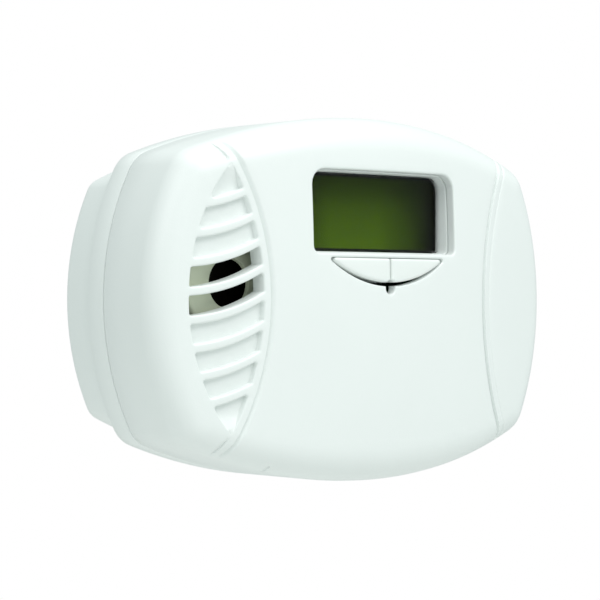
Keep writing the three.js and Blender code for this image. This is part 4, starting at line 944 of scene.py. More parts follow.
def battery_door(material):
    door = Patchwork()
    half = BAY_HALF - SLIDE_GAP
    inner_y = DOOR_FACE_Y - DOOR_THICK
    plate = rounded_box(-half, half, PIN_Z - DOOR_FOOT, DOOR_TOP, 0.7, 0.9, 1.0)
    ease = [
        (DOOR_EASE * (1 - math.cos(t)), DOOR_EASE * (1 - math.sin(t)))
        for t in np.radians([0, 30, 60, 90])
    ]
    door.strips([
        *[lifted(plate.loop(inset), DOOR_FACE_Y - fall) for inset, fall in ease[::-1]],
        lifted(plate.loop(0), (DOOR_FACE_Y + inner_y) / 2),
        *[lifted(plate.loop(inset), inner_y + fall) for inset, fall in ease],
    ])
    for y in (DOOR_FACE_Y, inner_y):
        door.cap(lifted(plate.loop(DOOR_EASE), y))
    pins = crossbar(-BAY_HALF - PIN_REACH, BAY_HALF + PIN_REACH, PIN_RADIUS)
    for bar in (crossbar(-half, half, BARREL), pins):
        door.strips(bar)
        door.cap(bar[0])
        door.cap(bar[-1])
    tongue = rounded_box(
        -TONGUE_HALF, TONGUE_HALF, DOOR_TOP - TONGUE_THICK, DOOR_TOP,
        SMALL_CORNER, SMALL_CORNER, 1.0,
    )
    rings = [
        lifted(tongue.loop(0), inner_y + TONGUE_ROOT),
        lifted(tongue.loop(0), inner_y - TONGUE_STRAIGHT),
        lifted(tongue.loop(TONGUE_EASE), inner_y - TONGUE_DEPTH),
    ]
    door.strips(rings)
    door.cap(rings[0])
    door.cap(rings[-1])
    piece = door.finish("door_panel", material)
    settle(piece, "door", "case_plastic", "battery_door")


# ----------------------------------------------------------------- buttons


def half_moon(side):
    """One half of the button pair, with room for the light pipe."""
    split, room = SLIDE_GAP / 2, INDICATOR_RADIUS + GAP
    centre_z = MOON_LOW + MOON_ARC + FLATTER
    radius, top = MOON_ARC + FLATTER - MOON_LOW_GAP, MOON_TOP - MOON_TOP_GAP
    reach = math.sqrt(radius**2 - (centre_z - top) ** 2)
    arc, notch = (0, centre_z, radius, 1), (0, INDICATOR_Z, room, -1)
    upper = (split, INDICATOR_Z + math.sqrt(room**2 - split**2))
    lower = meeting(arc[:3], notch[:3], (room, MOON_LOW + MOON_LOW_GAP))
    edges = [arc, line_edge(reach, top, math.pi), line_edge(split, top, -math.pi / 2), notch]
    hints = [(reach, top), (split, top), upper, lower]
    loop = ArcLoop(edges, hints, BUTTON_CORNERS, 0.5)
    return lambda out: loop.loop(out) * (1 if side > 0 else (-1, 1))


def button_lip(outline, side):
    """The wider rim behind the cover, cut away below to clear the light pipe."""
    rim, edge = outline(-BUTTON_LIP), outline(-LIP_CUT_EDGE)
    share = np.clip((MOON_TOP - rim[:, 1]) / (MOON_TOP - MOON_LOW), 0, 1)
    rim[:, 0] *= LIP_STRETCH
    rim[:, 1] = np.minimum(rim[:, 1] - MOON_LOW_GAP * share, MOON_TOP - SLIDE_GAP)
    cut_away = smooth(share, *LIP_CUT)[:, None]
    rim = rim * (1 - cut_away) + edge * cut_away
    rim[:, 0] = side * np.maximum(side * rim[:, 0], SLIDE_GAP / 2)
    away = np.hypot(rim[:, 0], rim[:, 1] - INDICATOR_Z)
    room = np.maximum(1, (INDICATOR_RADIUS + GAP) / np.maximum(away, 0.01))
    rim[:, 0] *= room
    rim[:, 1] = INDICATOR_Z + (rim[:, 1] - INDICATOR_Z) * room
    return rim


def button_face(outline):
    """The crowned face of a button with its rounded edge."""
    flats = [outline(inset) for inset in BUTTON_INSET * (1 - np.cos(EASE_TURNS))]
    falls = BUTTON_FALL * (1 - np.sin(EASE_TURNS))
    grid = spacing_grid(BUTTON_STEP)
    grid = clear_of(grid[within(grid, flats[-1])], flats, 0.5)
    flat, drop, faces = sheet_over(list(zip(flats, falls)), [], grid, [])
    kept = within(flat[np.array(faces)].mean(1), flats[0])
    y = front_at(flat[:, 0], flat[:, 1]) - BUTTON_PROUD + drop
    return np.stack([flat[:, 0], y, flat[:, 1]], 1), [f for f, k in zip(faces, kept) if k]


def button(name, side, body, material):
    outline = half_moon(side)
    cap = Patchwork()
    cap.add(*button_face(outline))
    lip_y = front_at(WINDOW_HALF, MOON_TOP) + WALL + GAP
    wall, rim = outline(0), button_lip(outline, side)
    cap.strips([
        lifted(wall, front_at(*wall.T) - BUTTON_PROUD + BUTTON_FALL), lifted(wall, lip_y),
        lifted(rim, lip_y), lifted(rim, lip_y + BUTTON_LIP_DEPTH),
    ])
    cap.cap(lifted(rim, lip_y + BUTTON_LIP_DEPTH))
    stem = RoundLoop(side * STEM_X, STEM_Z, STEM_RADIUS, 28)
    stem_end = box_mm(name)[1][1]
    rings = [
        lifted(stem.loop(0), lip_y + STEM_ROOT), lifted(stem.loop(0), stem_end - STEM_EASE),
        lifted(stem.loop(STEM_EASE), stem_end),
    ]
    cap.strips(rings)
    cap.cap(rings[0])
    cap.cap(rings[-1])
    piece = cap.finish(name.replace("button", "key"), material, 50)
    settle(piece, body, "button_plastic", name)


# ----------------------------------------------------------------- display

LENS_Y, LENS_THICK, LENS_EASE, PARTS_Y = FRONT_Y + 7.0, 1.2, 0.15, FRONT_Y + 20.3
BORDER_GAP, BORDER_THICK, BORDER_INSET = 0.05, 0.08, 0.95


def display_frame(material):
    """The tube behind the window opening, whose front follows the cover."""
    tube = Patchwork()
    sunk = WALL + GAP
    inner, outer = BEZEL_STEP, BEZEL_STEP - BEZEL_WALL
    middle = EDGE_MIDDLE * BEZEL_EASE

    def surface(inset, extra):
        loop = window.loop(inset)
        return lifted(loop, front_surface(*loop.T, sunk) + extra)

    rows = [surface(outer + BEZEL_EASE, 0), surface(outer + middle, middle)]
    rows += [surface(outer, BEZEL_EASE)]
    rows += [lifted(window.loop(outer), PARTS_Y), lifted(window.loop(inner), PARTS_Y)]
    rows += [surface(inner, BEZEL_EASE), surface(inner - middle, middle)]
    rows += [surface(inner - BEZEL_EASE, 0), rows[0]]
    tube.strips(rows)
    piece = tube.finish("window_bezel", material)
    settle(piece, "case", "case_plastic", "display_frame")


def display_pane(material):
    """The clear plate over the display, with eased edges."""
    plate = Patchwork()
    inset, back = BEZEL_STEP + GAP, LENS_Y + LENS_THICK
    eased, full = window.loop(inset + LENS_EASE), window.loop(inset)
    rings = [
        lifted(eased, LENS_Y), lifted(full, LENS_Y + LENS_EASE),
        lifted(full, back - LENS_EASE), lifted(eased, back),
    ]
    plate.strips(rings)
    plate.cap(rings[0])
    plate.cap(rings[-1])
    piece = plate.finish("window_pane", material)
    settle(piece, "case", "window_plastic", "display_window")


def display_border(material):
    """The black border printed behind the clear window."""
    border = Patchwork()
    y = LENS_Y + LENS_THICK + BORDER_GAP
    outer, inner = window.loop(BEZEL_STEP + GAP), window.loop(BEZEL_STEP + BORDER_INSET)
    border.strips([
        lifted(outer, y), lifted(inner, y), lifted(inner, y + BORDER_THICK),
        lifted(outer, y + BORDER_THICK), lifted(outer, y),
    ])
    piece = border.finish("window_border", material)
    settle(piece, "case", "black_plastic")


# ------------------------------------------------------- horn, pipe, blades


HORN_AT, HORN_FACE_Y = (-42.5, 3.8), FRONT_Y + 12.1
HORN_RADIUS, HORN_PORT, HORN_WALL = 13.6, 6.0, 1.2
HORN_BORE, HORN_LEDGE, HORN_LEDGE_Y = 12.4, 11.2, 3.0
PORT_EASE, PORT_MIDDLE = 0.9, 0.26
LIGHT_ROD_RADIUS, LIGHT_ROD_DOME, LIGHT_ROD_EASE = 1.3, 0.8, 0.25
BLADE_ROOT_Y, BLADE_TIP_Y, BLADE_EASE = -16.5, 17.0, 0.18
BLADE_HOLE_Y, BLADE_HOLE_RADIUS, BLADE_CUTTER = BLADE_TIP_Y - 4.2, 1.6, 6.0
# Distance behind the tip, and how much thinner and narrower a blade is there.
BLADE_TAPER = ((3.0, 0.0, 0.0), (1.4, 0.08, 0.35), (0.5, 0.3, 1.0), (0.0, 0.5, 1.7))


def turned(name, node, profile, centre, material, slot, count):
    """A turned piece on the Y axis, from (radius, y) pairs."""
    lathe = Patchwork()
    loops = [lifted(RoundLoop(*centre, max(r, 1e-3), count).loop(0), y) for r, y in profile]
    lathe.strips(loops)
    if profile[0] != profile[-1]:
        lathe.cap(loops[0])
        lathe.cap(loops[-1])
    settle(lathe.finish(name, material, 40), "case", slot, node)


def horn(material):
    """The horn's cup: a round port in its face, and a ledge for the disc."""
    y, under_face = HORN_FACE_Y, HORN_FACE_Y + HORN_WALL
    profile = [(HORN_PORT, y + PORT_EASE), (HORN_PORT + PORT_MIDDLE, y + PORT_MIDDLE)]
    profile += [(HORN_PORT + PORT_EASE, y)]
    profile += [
        (HORN_RADIUS - HORN_WALL + HORN_WALL * math.sin(t), y + HORN_WALL * (1 - math.cos(t)))
        for t in np.radians([0, 25, 50, 70, 90])
    ]
    profile += [(HORN_RADIUS, PARTS_Y), (HORN_BORE, PARTS_Y)]
    profile += [(HORN_BORE, y + HORN_LEDGE_Y), (HORN_LEDGE, y + HORN_LEDGE_Y)]
    profile += [(HORN_LEDGE, under_face), (HORN_PORT, under_face), profile[0]]
    turned("horn_shell", "horn_housing", profile, HORN_AT, material, "cream_plastic", 96)


def light_rod(material):
    (_, front, _), (_, back, _) = box_mm("light_pipe")
    profile = [
        (LIGHT_ROD_RADIUS * math.sin(t), front + LIGHT_ROD_DOME * (1 - math.cos(t)))
        for t in np.radians([0, 20, 40, 60, 75, 90])
    ]
    profile += [(LIGHT_ROD_RADIUS, back - LIGHT_ROD_EASE)]
    profile += [(LIGHT_ROD_RADIUS - LIGHT_ROD_EASE, back)]
    turned("light_rod", "light_pipe", profile, (0, INDICATOR_Z), material, "clear_plastic", 40)


def hole_cutter(x):
    """A round bar along X, for the detent hole through a blade."""
    tool = bmesh.new()
    bmesh.ops.create_cone(
        tool, cap_ends=True, segments=48, radius1=BLADE_HOLE_RADIUS * MM,
        radius2=BLADE_HOLE_RADIUS * MM, depth=BLADE_CUTTER * MM,
    )
    bmesh.ops.rotate(tool, verts=tool.verts, matrix=Matrix.Rotation(math.pi / 2, 3, "Y"))
    bmesh.ops.translate(tool, verts=tool.verts, vec=Vector((x, BLADE_HOLE_Y, BLADE_Z)) * MM)
    return as_mesh(tool)


def blade(node, side, material):
    """A mains blade with eased edges and a tapering tip."""
    half_z, half_x = BLADE_WIDTHS[side] / 2, BLADE_THICK / 2
    section = rounded_box(-half_x, half_x, -half_z, half_z, BLADE_EASE, BLADE_EASE, 1.0).loop(0)
    loops = [lifted(section + (side * BLADE_X, BLADE_Z), BLADE_ROOT_Y)]
    for behind, less_x, less_z in BLADE_TAPER:
        scale = np.array([1 - less_x / half_x, 1 - less_z / half_z])
        loops.append(lifted(section * scale + (side * BLADE_X, BLADE_Z), BLADE_TIP_Y - behind))
    prong = Patchwork()
    prong.strips(loops)
    prong.cap(loops[0])
    prong.cap(loops[-1])
    piece = prong.finish(node.replace("blade", "prong"), material)
    carve(piece, hole_cutter(side * BLADE_X))
    settle(piece, "case", "nickel", node)


# ------------------------------------------------------- node-tree helpers


def srgb(red, green, blue, alpha=1.0):
    """A colour given in 0-255 display values, as linear light."""
    shares = [v / 255 for v in (red, green, blue)]
    linear = [v / 12.92 if v <= 0.04045 else ((v + 0.055) / 1.055) ** 2.4 for v in shares]
    return (*linear, alpha)


def place(tree, kind, inputs=None, **settings):
    """Adds a node; an input that is a socket is linked, another value is set."""
    node = tree.nodes.new(kind)
    for name, value in settings.items():
        setattr(node, name, value)
    for name, value in (inputs or {}).items():
        if isinstance(value, bpy.types.NodeSocket):
            tree.links.new(value, node.inputs[name])
        else:
            node.inputs[name].default_value = value
    return node


def sum_of(tree, kind, a, b, c=None):
    """One math node; the third value is only for a multiply and add."""
    inputs = {0: a, 1: b} if c is None else {0: a, 1: b, 2: c}
    return place(tree, "ShaderNodeMath", inputs, operation=kind).outputs[0]


def mixed(tree, share, a, b, blend="MIX"):
    """A colour mix; in a Mix node's colour mode the sockets are 0, 6 and 7."""
    inputs = {0: share, 6: a, 7: b}
    return place(tree, "ShaderNodeMix", inputs, data_type="RGBA", blend_type=blend).outputs[2]


def stretched(tree, value, low, high, to_low, to_high):
    inputs = {
        "Value": value, "From Min": low, "From Max": high, "To Min": to_low, "To Max": to_high,
    }
    return place(tree, "ShaderNodeMapRange", inputs).outputs[0]


def noise(tree, vector, scale, detail=3.0, rough=0.5):
    inputs = {"Vector": vector, "Scale": scale, "Detail": detail, "Roughness": rough}
    return place(tree, "ShaderNodeTexNoise", inputs).outputs["Fac"]


def object_place(tree):
    return place(tree, "ShaderNodeTexCoord").outputs["Object"]


def times(tree, value, share):
    return sum_of(tree, "MULTIPLY", value, share)


def front_plane(tree):
    """The place on the front as X and Z, and the same as a flat vector."""
    split = place(tree, "ShaderNodeSeparateXYZ", {"Vector": object_place(tree)}).outputs
    flat = place(tree, "ShaderNodeCombineXYZ", {"X": split["X"], "Y": split["Z"]}).outputs[0]
    return split["X"], split["Z"], flat


def effect_group(name, inputs, outputs):
    """An empty shader group with named sockets, and its two end nodes."""
    tree = bpy.data.node_groups.new(name, "ShaderNodeTree")
    for label, kind, value in inputs:
        socket = tree.interface.new_socket(label, in_out="INPUT", socket_type="NodeSocket" + kind)
        socket.default_value = value
    for label, kind in outputs:
        tree.interface.new_socket(label, in_out="OUTPUT", socket_type="NodeSocket" + kind)
    return tree, tree.nodes.new("NodeGroupInput").outputs, tree.nodes.new("NodeGroupOutput").inputs


WHITE, BLACK = (1.0, 1.0, 1.0, 1.0), (0.0, 0.0, 0.0, 1.0)

# ---------------------------------------------------------- shared effects


def moulded_grain_group():
    """Fine tool texture and slow changes of tone, as on an injection moulding."""
    tree, given, result = effect_group(
        "moulded_grain",
        [("Colour", "Color", WHITE), ("Shade", "Float", 0.04), ("Grain Scale", "Float", 2600.0),
         ("Roughness", "Float", 0.4), ("Spread", "Float", 0.08)],
        [("Colour", "Color"), ("Roughness", "Float"), ("Height", "Float")],
    )
    where = object_place(tree)
    fine = noise(tree, where, given["Grain Scale"], 2.0, 0.6)
    slow = noise(tree, where, 26.0, 3.0, 0.55)
    cloud = stretched(tree, slow, 0.3, 0.7, 0.0, 1.0)
    darker = mixed(tree, given["Shade"], given["Colour"], BLACK)
    tree.links.new(mixed(tree, cloud, given["Colour"], darker), result["Colour"])
    both = sum_of(tree, "MULTIPLY_ADD", fine, 0.5, sum_of(tree, "MULTIPLY", slow, 0.5))
    around = sum_of(tree, "MULTIPLY", sum_of(tree, "SUBTRACT", both, 0.5), given["Spread"])
    tree.links.new(sum_of(tree, "ADD", given["Roughness"], around), result["Roughness"])
    tree.links.new(fine, result["Height"])
    return tree


def handled_group():
    """Polished high edges and a little dust held in the low corners."""
    tree, given, result = effect_group(
        "handled",
        [("Colour", "Color", WHITE), ("Roughness", "Float", 0.4), ("Edge Polish", "Float", 0.1),
         ("Dust", "Float", 0.1), ("Dust Colour", "Color", srgb(150, 146, 134))],
        [("Colour", "Color"), ("Roughness", "Float")],
    )
    point = place(tree, "ShaderNodeNewGeometry").outputs["Pointiness"]
    patchy = stretched(tree, noise(tree, object_place(tree), 160.0, 4.0, 0.6), 0.35, 0.7, 0.3, 1.0)
    high = sum_of(tree, "MULTIPLY", stretched(tree, point, 0.52, 0.6, 0.0, 1.0), patchy)
    low = sum_of(tree, "MULTIPLY", stretched(tree, point, 0.48, 0.4, 0.0, 1.0), patchy)
    dust = sum_of(tree, "MULTIPLY", low, given["Dust"])
    polish = sum_of(tree, "MULTIPLY", high, given["Edge Polish"])
    tree.links.new(mixed(tree, dust, given["Colour"], given["Dust Colour"]), result["Colour"])
    rougher = sum_of(tree, "ADD", given["Roughness"], dust)
    tree.links.new(sum_of(tree, "SUBTRACT", rougher, polish), result["Roughness"])
    return tree


def drawn_metal_group():
    """Fine lines left by drawing or stamping, with slow tarnish."""
    tree, given, result = effect_group(
        "drawn_metal",
        [("Colour", "Color", WHITE), ("Tarnish Colour", "Color", WHITE), ("Tarnish", "Float", 0.2),
         ("Roughness", "Float", 0.28), ("Stretch", "Vector", (1.0, 1.0, 1.0))],
        [("Colour", "Color"), ("Roughness", "Float"), ("Height", "Float")],
    )
    where = object_place(tree)
    along = place(
        tree, "ShaderNodeVectorMath", {0: where, 1: given["Stretch"]}, operation="MULTIPLY"
    ).outputs[0]
    lines = noise(tree, along, 900.0, 3.0, 0.6)
    blotch = stretched(tree, noise(tree, where, 120.0, 4.0, 0.6), 0.42, 0.72, 0.0, 1.0)
    stain = sum_of(tree, "MULTIPLY", blotch, given["Tarnish"])
    tree.links.new(mixed(tree, stain, given["Colour"], given["Tarnish Colour"]), result["Colour"])
    uneven = sum_of(tree, "MULTIPLY_ADD", lines, 0.16, given["Roughness"])
    tree.links.new(sum_of(tree, "MULTIPLY_ADD", stain, 0.3, uneven), result["Roughness"])
    tree.links.new(lines, result["Height"])
    return tree


moulded_grain = moulded_grain_group()
handled = handled_group()
drawn_metal = drawn_metal_group()

# --------------------------------------------------------------- materials


def new_finish(name):
    """A material's tree with its shader and output, ready for its effects."""
    finish = bpy.data.materials.new(name)
    finish.use_nodes = True
    tree = finish.node_tree
    tree.nodes.clear()
    shader = tree.nodes.new("ShaderNodeBsdfPrincipled")
    output = tree.nodes.new("ShaderNodeOutputMaterial")
    tree.links.new(shader.outputs["BSDF"], output.inputs["Surface"])
    return finish, tree, shader


def bumped(tree, shader, height, depth, reach=0.00008):
    inputs = {"Height": height, "Strength": depth, "Distance": reach}
    tree.links.new(place(tree, "ShaderNodeBump", inputs).outputs[0], shader.inputs["Normal"])


def moulded(name, colour, roughness, depth, shade=0.1, grain=2600.0):
    """A moulded plastic: grain, then handling, into one shader."""
    finish, tree, shader = new_finish(name)
    grained = place(tree, "ShaderNodeGroup", {
        "Colour": colour, "Shade": shade, "Grain Scale": grain, "Roughness": roughness,
    }, node_tree=moulded_grain)
    worn = place(tree, "ShaderNodeGroup", {
        "Colour": grained.outputs["Colour"], "Roughness": grained.outputs["Roughness"],
        "Edge Polish": 0.1, "Dust": 0.1,
    }, node_tree=handled)
    tree.links.new(worn.outputs["Colour"], shader.inputs["Base Color"])
    tree.links.new(worn.outputs["Roughness"], shader.inputs["Roughness"])
    bumped(tree, shader, grained.outputs["Height"], depth)
    return finish


def white_abs():
    return moulded("white_abs", srgb(240, 244, 242), roughness=0.36, depth=0.22, shade=0.02)


def button_abs():
    return moulded(
        "button_abs", srgb(241, 245, 242), roughness=0.32, depth=0.16, shade=0.02, grain=3200.0
    )


def cream_horn_plastic():
    return moulded("cream_horn_plastic", srgb(240, 245, 220), roughness=0.42, depth=0.3, shade=0.06)


def black_moulding():
    finish = moulded("black_moulding", srgb(14, 16, 13), roughness=0.42, depth=0.3)
    shader = finish.node_tree.nodes["Principled BSDF"]
    shader.inputs["Specular IOR Level"].default_value = 0.2
    return finish


def grey_filter_rubber():
    return moulded(
        "grey_filter_rubber", srgb(96, 98, 100), roughness=0.7, depth=0.5, shade=0.2, grain=900.0
    )


def film_blue_epoxy():
    return moulded(
        "film_blue_epoxy", srgb(38, 78, 150), roughness=0.28, depth=0.25, shade=0.12, grain=700.0
    )


def dipped_yellow_epoxy():
    return moulded(
        "dipped_yellow_epoxy", srgb(214, 160, 44), roughness=0.26, depth=0.3, shade=0.12,
        grain=600.0,
    )


def lead_sleeve(name, colour):
    return moulded(name, colour, roughness=0.42, depth=0.3, grain=1400.0)


def clear_pane(name, tint, roughness, ior):
    """Clear moulded plastic with faint flow marks."""
    finish, tree, shader = new_finish(name)
    where = object_place(tree)
    shader.inputs["Base Color"].default_value = tint
    shader.inputs["IOR"].default_value = ior
    shader.inputs["Transmission Weight"].default_value = 1.0
    flow = noise(tree, where, 90.0, 4.0, 0.6)
    smear = stretched(tree, flow, 0.4, 0.75, roughness, roughness + 0.05)
    tree.links.new(smear, shader.inputs["Roughness"])
    bumped(tree, shader, noise(tree, where, 240.0, 2.0, 0.4), 0.05, 0.00005)
    return finish


def liquid_crystal():
    """A dark green display with painted light low in the middle and painted shade from the window's
    walls at its ends and top.
    """
    finish, tree, shader = new_finish("liquid_crystal")
    x, z, flat = front_plane(tree)
    low = stretched(tree, z, 0.013, 0.031, 1.0, 0.25)
    off_middle = sum_of(tree, "ABSOLUTE", sum_of(tree, "ADD", x, 0.005), 0.0)
    across = stretched(tree, off_middle, 0.008, 0.0265, 1.0, 0.0)
    # This share paints light low in the middle and shade at the ends and top into the display's
    # colour.
    painted_light_share = sum_of(tree, "MULTIPLY", low, across)
    colour = mixed(tree, painted_light_share, srgb(15, 19, 5), srgb(80, 108, 18))
    cells = place(tree, "ShaderNodeTexBrick", {
        "Vector": flat, "Color1": WHITE, "Color2": WHITE, "Mortar": (0.9, 0.9, 0.9, 1.0),
        "Scale": 260.0, "Mortar Size": 0.02,
    }, offset=0.0).outputs["Color"]
    tree.links.new(mixed(tree, 1.0, colour, cells, "MULTIPLY"), shader.inputs["Base Color"])
    mottled = stretched(tree, noise(tree, object_place(tree), 500.0), 0.3, 0.7, 0.3, 0.4)
    tree.links.new(mottled, shader.inputs["Roughness"])
    shader.inputs["Specular IOR Level"].default_value = 0.1
    return finish


def metal(name, colour, tarnish, amount, roughness, stretch):
    """A drawn or stamped metal; stretch draws its lines out along an axis."""
    finish, tree, shader = new_finish(name)
    drawn = place(tree, "ShaderNodeGroup", {
        "Colour": colour, "Tarnish Colour": tarnish, "Tarnish": amount,
        "Roughness": roughness, "Stretch": stretch,
    }, node_tree=drawn_metal)
    shader.inputs["Metallic"].default_value = 1.0
    tree.links.new(drawn.outputs["Colour"], shader.inputs["Base Color"])
    tree.links.new(drawn.outputs["Roughness"], shader.inputs["Roughness"])
    bumped(tree, shader, drawn.outputs["Height"], 0.3, 0.00003)
    return finish


def nickel_plate():
    return metal(
        "nickel_plate", srgb(206, 203, 194), tarnish=srgb(160, 152, 134), amount=0.3,
        roughness=0.2, stretch=(1.0, 0.06, 1.0),
    )


def horn_brass():
    return metal(
        "horn_brass", srgb(214, 176, 96), tarnish=srgb(140, 104, 52), amount=0.5,
        roughness=0.26, stretch=(1.0, 1.0, 0.2),
    )


# Brass painted near black: painted shade for the dark inside of the horn, seen through its port.
def painted_shade_brass():
    return metal(
        "painted_shade_brass", srgb(26, 24, 20), tarnish=srgb(12, 11, 9), amount=0.5,
        roughness=0.45, stretch=(1.0, 1.0, 0.2),
    )


def zinc_steel():
    return metal(
        "zinc_steel", srgb(176, 178, 182), tarnish=srgb(120, 118, 112), amount=0.35,
        roughness=0.3, stretch=(1.0, 0.3, 1.0),
    )


def board_laminate():
    """Green solder mask over copper tracks, with the weave showing faintly."""
    finish, tree, shader = new_finish("board_laminate")
    _, _, flat = front_plane(tree)
    tracks = place(tree, "ShaderNodeTexBrick", {
        "Vector": flat, "Color1": BLACK, "Color2": BLACK, "Mortar": WHITE, "Scale": 90.0,
        "Mortar Size": 0.035, "Brick Width": 1.1, "Row Height": 0.3,
    }, offset=0.37).outputs["Color"]
    broken = stretched(tree, noise(tree, flat, 60.0), 0.46, 0.5, 0.0, 1.0)
    copper = sum_of(tree, "MULTIPLY", tracks, broken)
    weave = place(tree, "ShaderNodeTexWave", {"Vector": flat, "Scale": 380.0, "Distortion": 1.0})
    faint = times(tree, weave.outputs["Fac"], 0.2)
    green = mixed(tree, faint, srgb(24, 92, 52), srgb(44, 118, 70))
    tree.links.new(mixed(tree, copper, green, srgb(66, 150, 84)), shader.inputs["Base Color"])
    tree.links.new(stretched(tree, copper, 0.0, 1.0, 0.36, 0.24), shader.inputs["Roughness"])
    bumped(tree, shader, copper, 0.6, 0.00004)
    return finish


BETWEEN_CELLS, BAND_START = -0.0206, 0.0105


def cell_sleeve():
    """A plain shrink sleeve: slate blue, with a pale band at the plus end."""
    finish, tree, shader = new_finish("cell_sleeve")
    where = object_place(tree)
    split = place(tree, "ShaderNodeSeparateXYZ", {"Vector": where}).outputs
    slow = noise(tree, where, 70.0)
    body = mixed(tree, slow, srgb(62, 88, 112), srgb(78, 104, 126))
    upper_cell = sum_of(tree, "GREATER_THAN", split["Z"], BETWEEN_CELLS)
    left_band = sum_of(tree, "LESS_THAN", split["X"], -BAND_START)
    right_band = sum_of(tree, "GREATER_THAN", split["X"], BAND_START)
    band = mixed(tree, upper_cell, right_band, left_band)
    tree.links.new(mixed(tree, band, body, srgb(196, 200, 200)), shader.inputs["Base Color"])
    tree.links.new(stretched(tree, band, 0.0, 1.0, 0.3, 0.24), shader.inputs["Roughness"])
    tree.links.new(stretched(tree, band, 0.0, 1.0, 0.0, 0.3), shader.inputs["Metallic"])
    bumped(tree, shader, noise(tree, where, 420.0, 3.0), 0.15)
    return finish


finishes = {
    "case_plastic": white_abs(),
    "button_plastic": button_abs(),
    "window_plastic": clear_pane("clear_window", (1.0, 1.0, 1.0, 1.0), 0.01, 1.1),
    "lcd_green": liquid_crystal(),
    "clear_plastic": clear_pane("clear_light_pipe", (0.94, 0.97, 0.94, 1.0), 0.12, 1.49),
    "cream_plastic": cream_horn_plastic(),
    "black_plastic": black_moulding(),
    "board_laminate": board_laminate(),
    "nickel": nickel_plate(),
    "brass": horn_brass(),
    "screw_steel": zinc_steel(),
    "grey_rubber": grey_filter_rubber(),
    "cell_sleeve": cell_sleeve(),
    "capacitor_blue": film_blue_epoxy(),
    "capacitor_yellow": dipped_yellow_epoxy(),
    "red_lead": lead_sleeve("red_lead", srgb(176, 34, 30)),
    "black_lead": lead_sleeve("black_lead", srgb(24, 24, 25)),
    "white_lead": lead_sleeve("white_lead", srgb(226, 226, 220)),
}


def refinish(nodes):
    """Gives every CAD node that stays its full material."""
    for node in nodes.values():
        for index, plain in enumerate(node.data.materials):
            node.data.materials[index] = finishes[plain.name]


# ---------------------------------------------- repeated pieces, by nodes


def grown_tree(name, sizes):
    """A Geometry Nodes tree with named sizes, and its two end nodes."""
    tree = bpy.data.node_groups.new(name, "GeometryNodeTree")
    tree.interface.new_socket("Geometry", in_out="INPUT", socket_type="NodeSocketGeometry")
    for label, kind, value in sizes:
        socket = tree.interface.new_socket(label, in_out="INPUT", socket_type="NodeSocket" + kind)
        if value is not None:
            socket.default_value = value
    tree.interface.new_socket("Geometry", in_out="OUTPUT", socket_type="NodeSocketGeometry")
    return tree, tree.nodes.new("NodeGroupInput").outputs, tree.nodes.new("NodeGroupOutput").inputs


def joined(tree, shapes):
    join = tree.nodes.new("GeometryNodeJoinGeometry")
    for shape in shapes:
        tree.links.new(shape, join.inputs[0])
    return join.outputs[0]


def vector_of(tree, x, y, z):
    return place(tree, "ShaderNodeCombineXYZ", {"X": x, "Y": y, "Z": z}).outputs[0]


def moved(tree, shape, by=(0.0, 0.0, 0.0), turn=(0.0, 0.0, 0.0), scale=(1.0, 1.0, 1.0)):
    inputs = {"Geometry": shape, "Translation": by, "Rotation": turn, "Scale": scale}
    return place(tree, "GeometryNodeTransform", inputs).outputs[0]


def on_points(tree, given, result, shape):
    """Sets the shape on every point, then makes it real with its material."""
    spread = place(
        tree, "GeometryNodeInstanceOnPoints", {"Points": given["Geometry"], "Instance": shape}
    )
    real = place(tree, "GeometryNodeRealizeInstances", {"Geometry": spread.outputs[0]})
    coated = place(
        tree, "GeometryNodeSetMaterial", {"Geometry": real.outputs[0], "Material": given["Finish"]}
    )
    tree.links.new(coated.outputs[0], result["Geometry"])


def coil(tree, turns, start, end, rise, wire, sides, per_turn=24):
    """A round wire along a spiral that climbs in Z."""
    path = place(tree, "GeometryNodeCurveSpiral", {
        "Resolution": per_turn, "Rotations": turns, "Start Radius": start, "End Radius": end,
        "Height": rise,
    }).outputs[0]
    section = place(
        tree, "GeometryNodeCurvePrimitiveCircle", {"Resolution": sides, "Radius": wire}
    ).outputs[0]
    return place(
        tree, "GeometryNodeCurveToMesh",
        {"Curve": path, "Profile Curve": section, "Fill Caps": True},
    ).outputs[0]


def shared(tree, a, b):
    """What two shapes have in common."""
    step = tree.nodes.new("GeometryNodeMeshBoolean")
    step.operation = "INTERSECT"
    tree.links.new(a, step.inputs["Mesh 2"])
    tree.links.new(b, step.inputs["Mesh 2"])
    return step.outputs[0]


def less(tree, shape, cutter):
    inputs = {"Mesh 1": shape, "Mesh 2": cutter}
    return place(tree, "GeometryNodeMeshBoolean", inputs, operation="DIFFERENCE").outputs[0]


def raised(tree, shape, value, share, turn=(0.0, 0.0, 0.0)):
    """Moves a shape up by a share of a value."""
    return moved(tree, shape, vector_of(tree, 0.0, 0.0, times(tree, value, share)), turn)


# Shares of the head radius, then of the shank radius, then of the length.
DOME_SPREAD, RECESS_LONG, RECESS_THIN = 1.16, 1.15, 0.26
CORE_SHARE, TIP_SHARE, THREAD_FOOT, THREAD_CREST = 0.78, 0.4, 0.72, 0.82
THREAD_PITCH, THREAD_WIRE = 0.62, 0.16
CORE_LENGTH, CORE_MIDDLE, TIP_LENGTH, THREAD_LENGTH, THREAD_END = 0.94, -0.46, 0.07, 0.8, -0.9


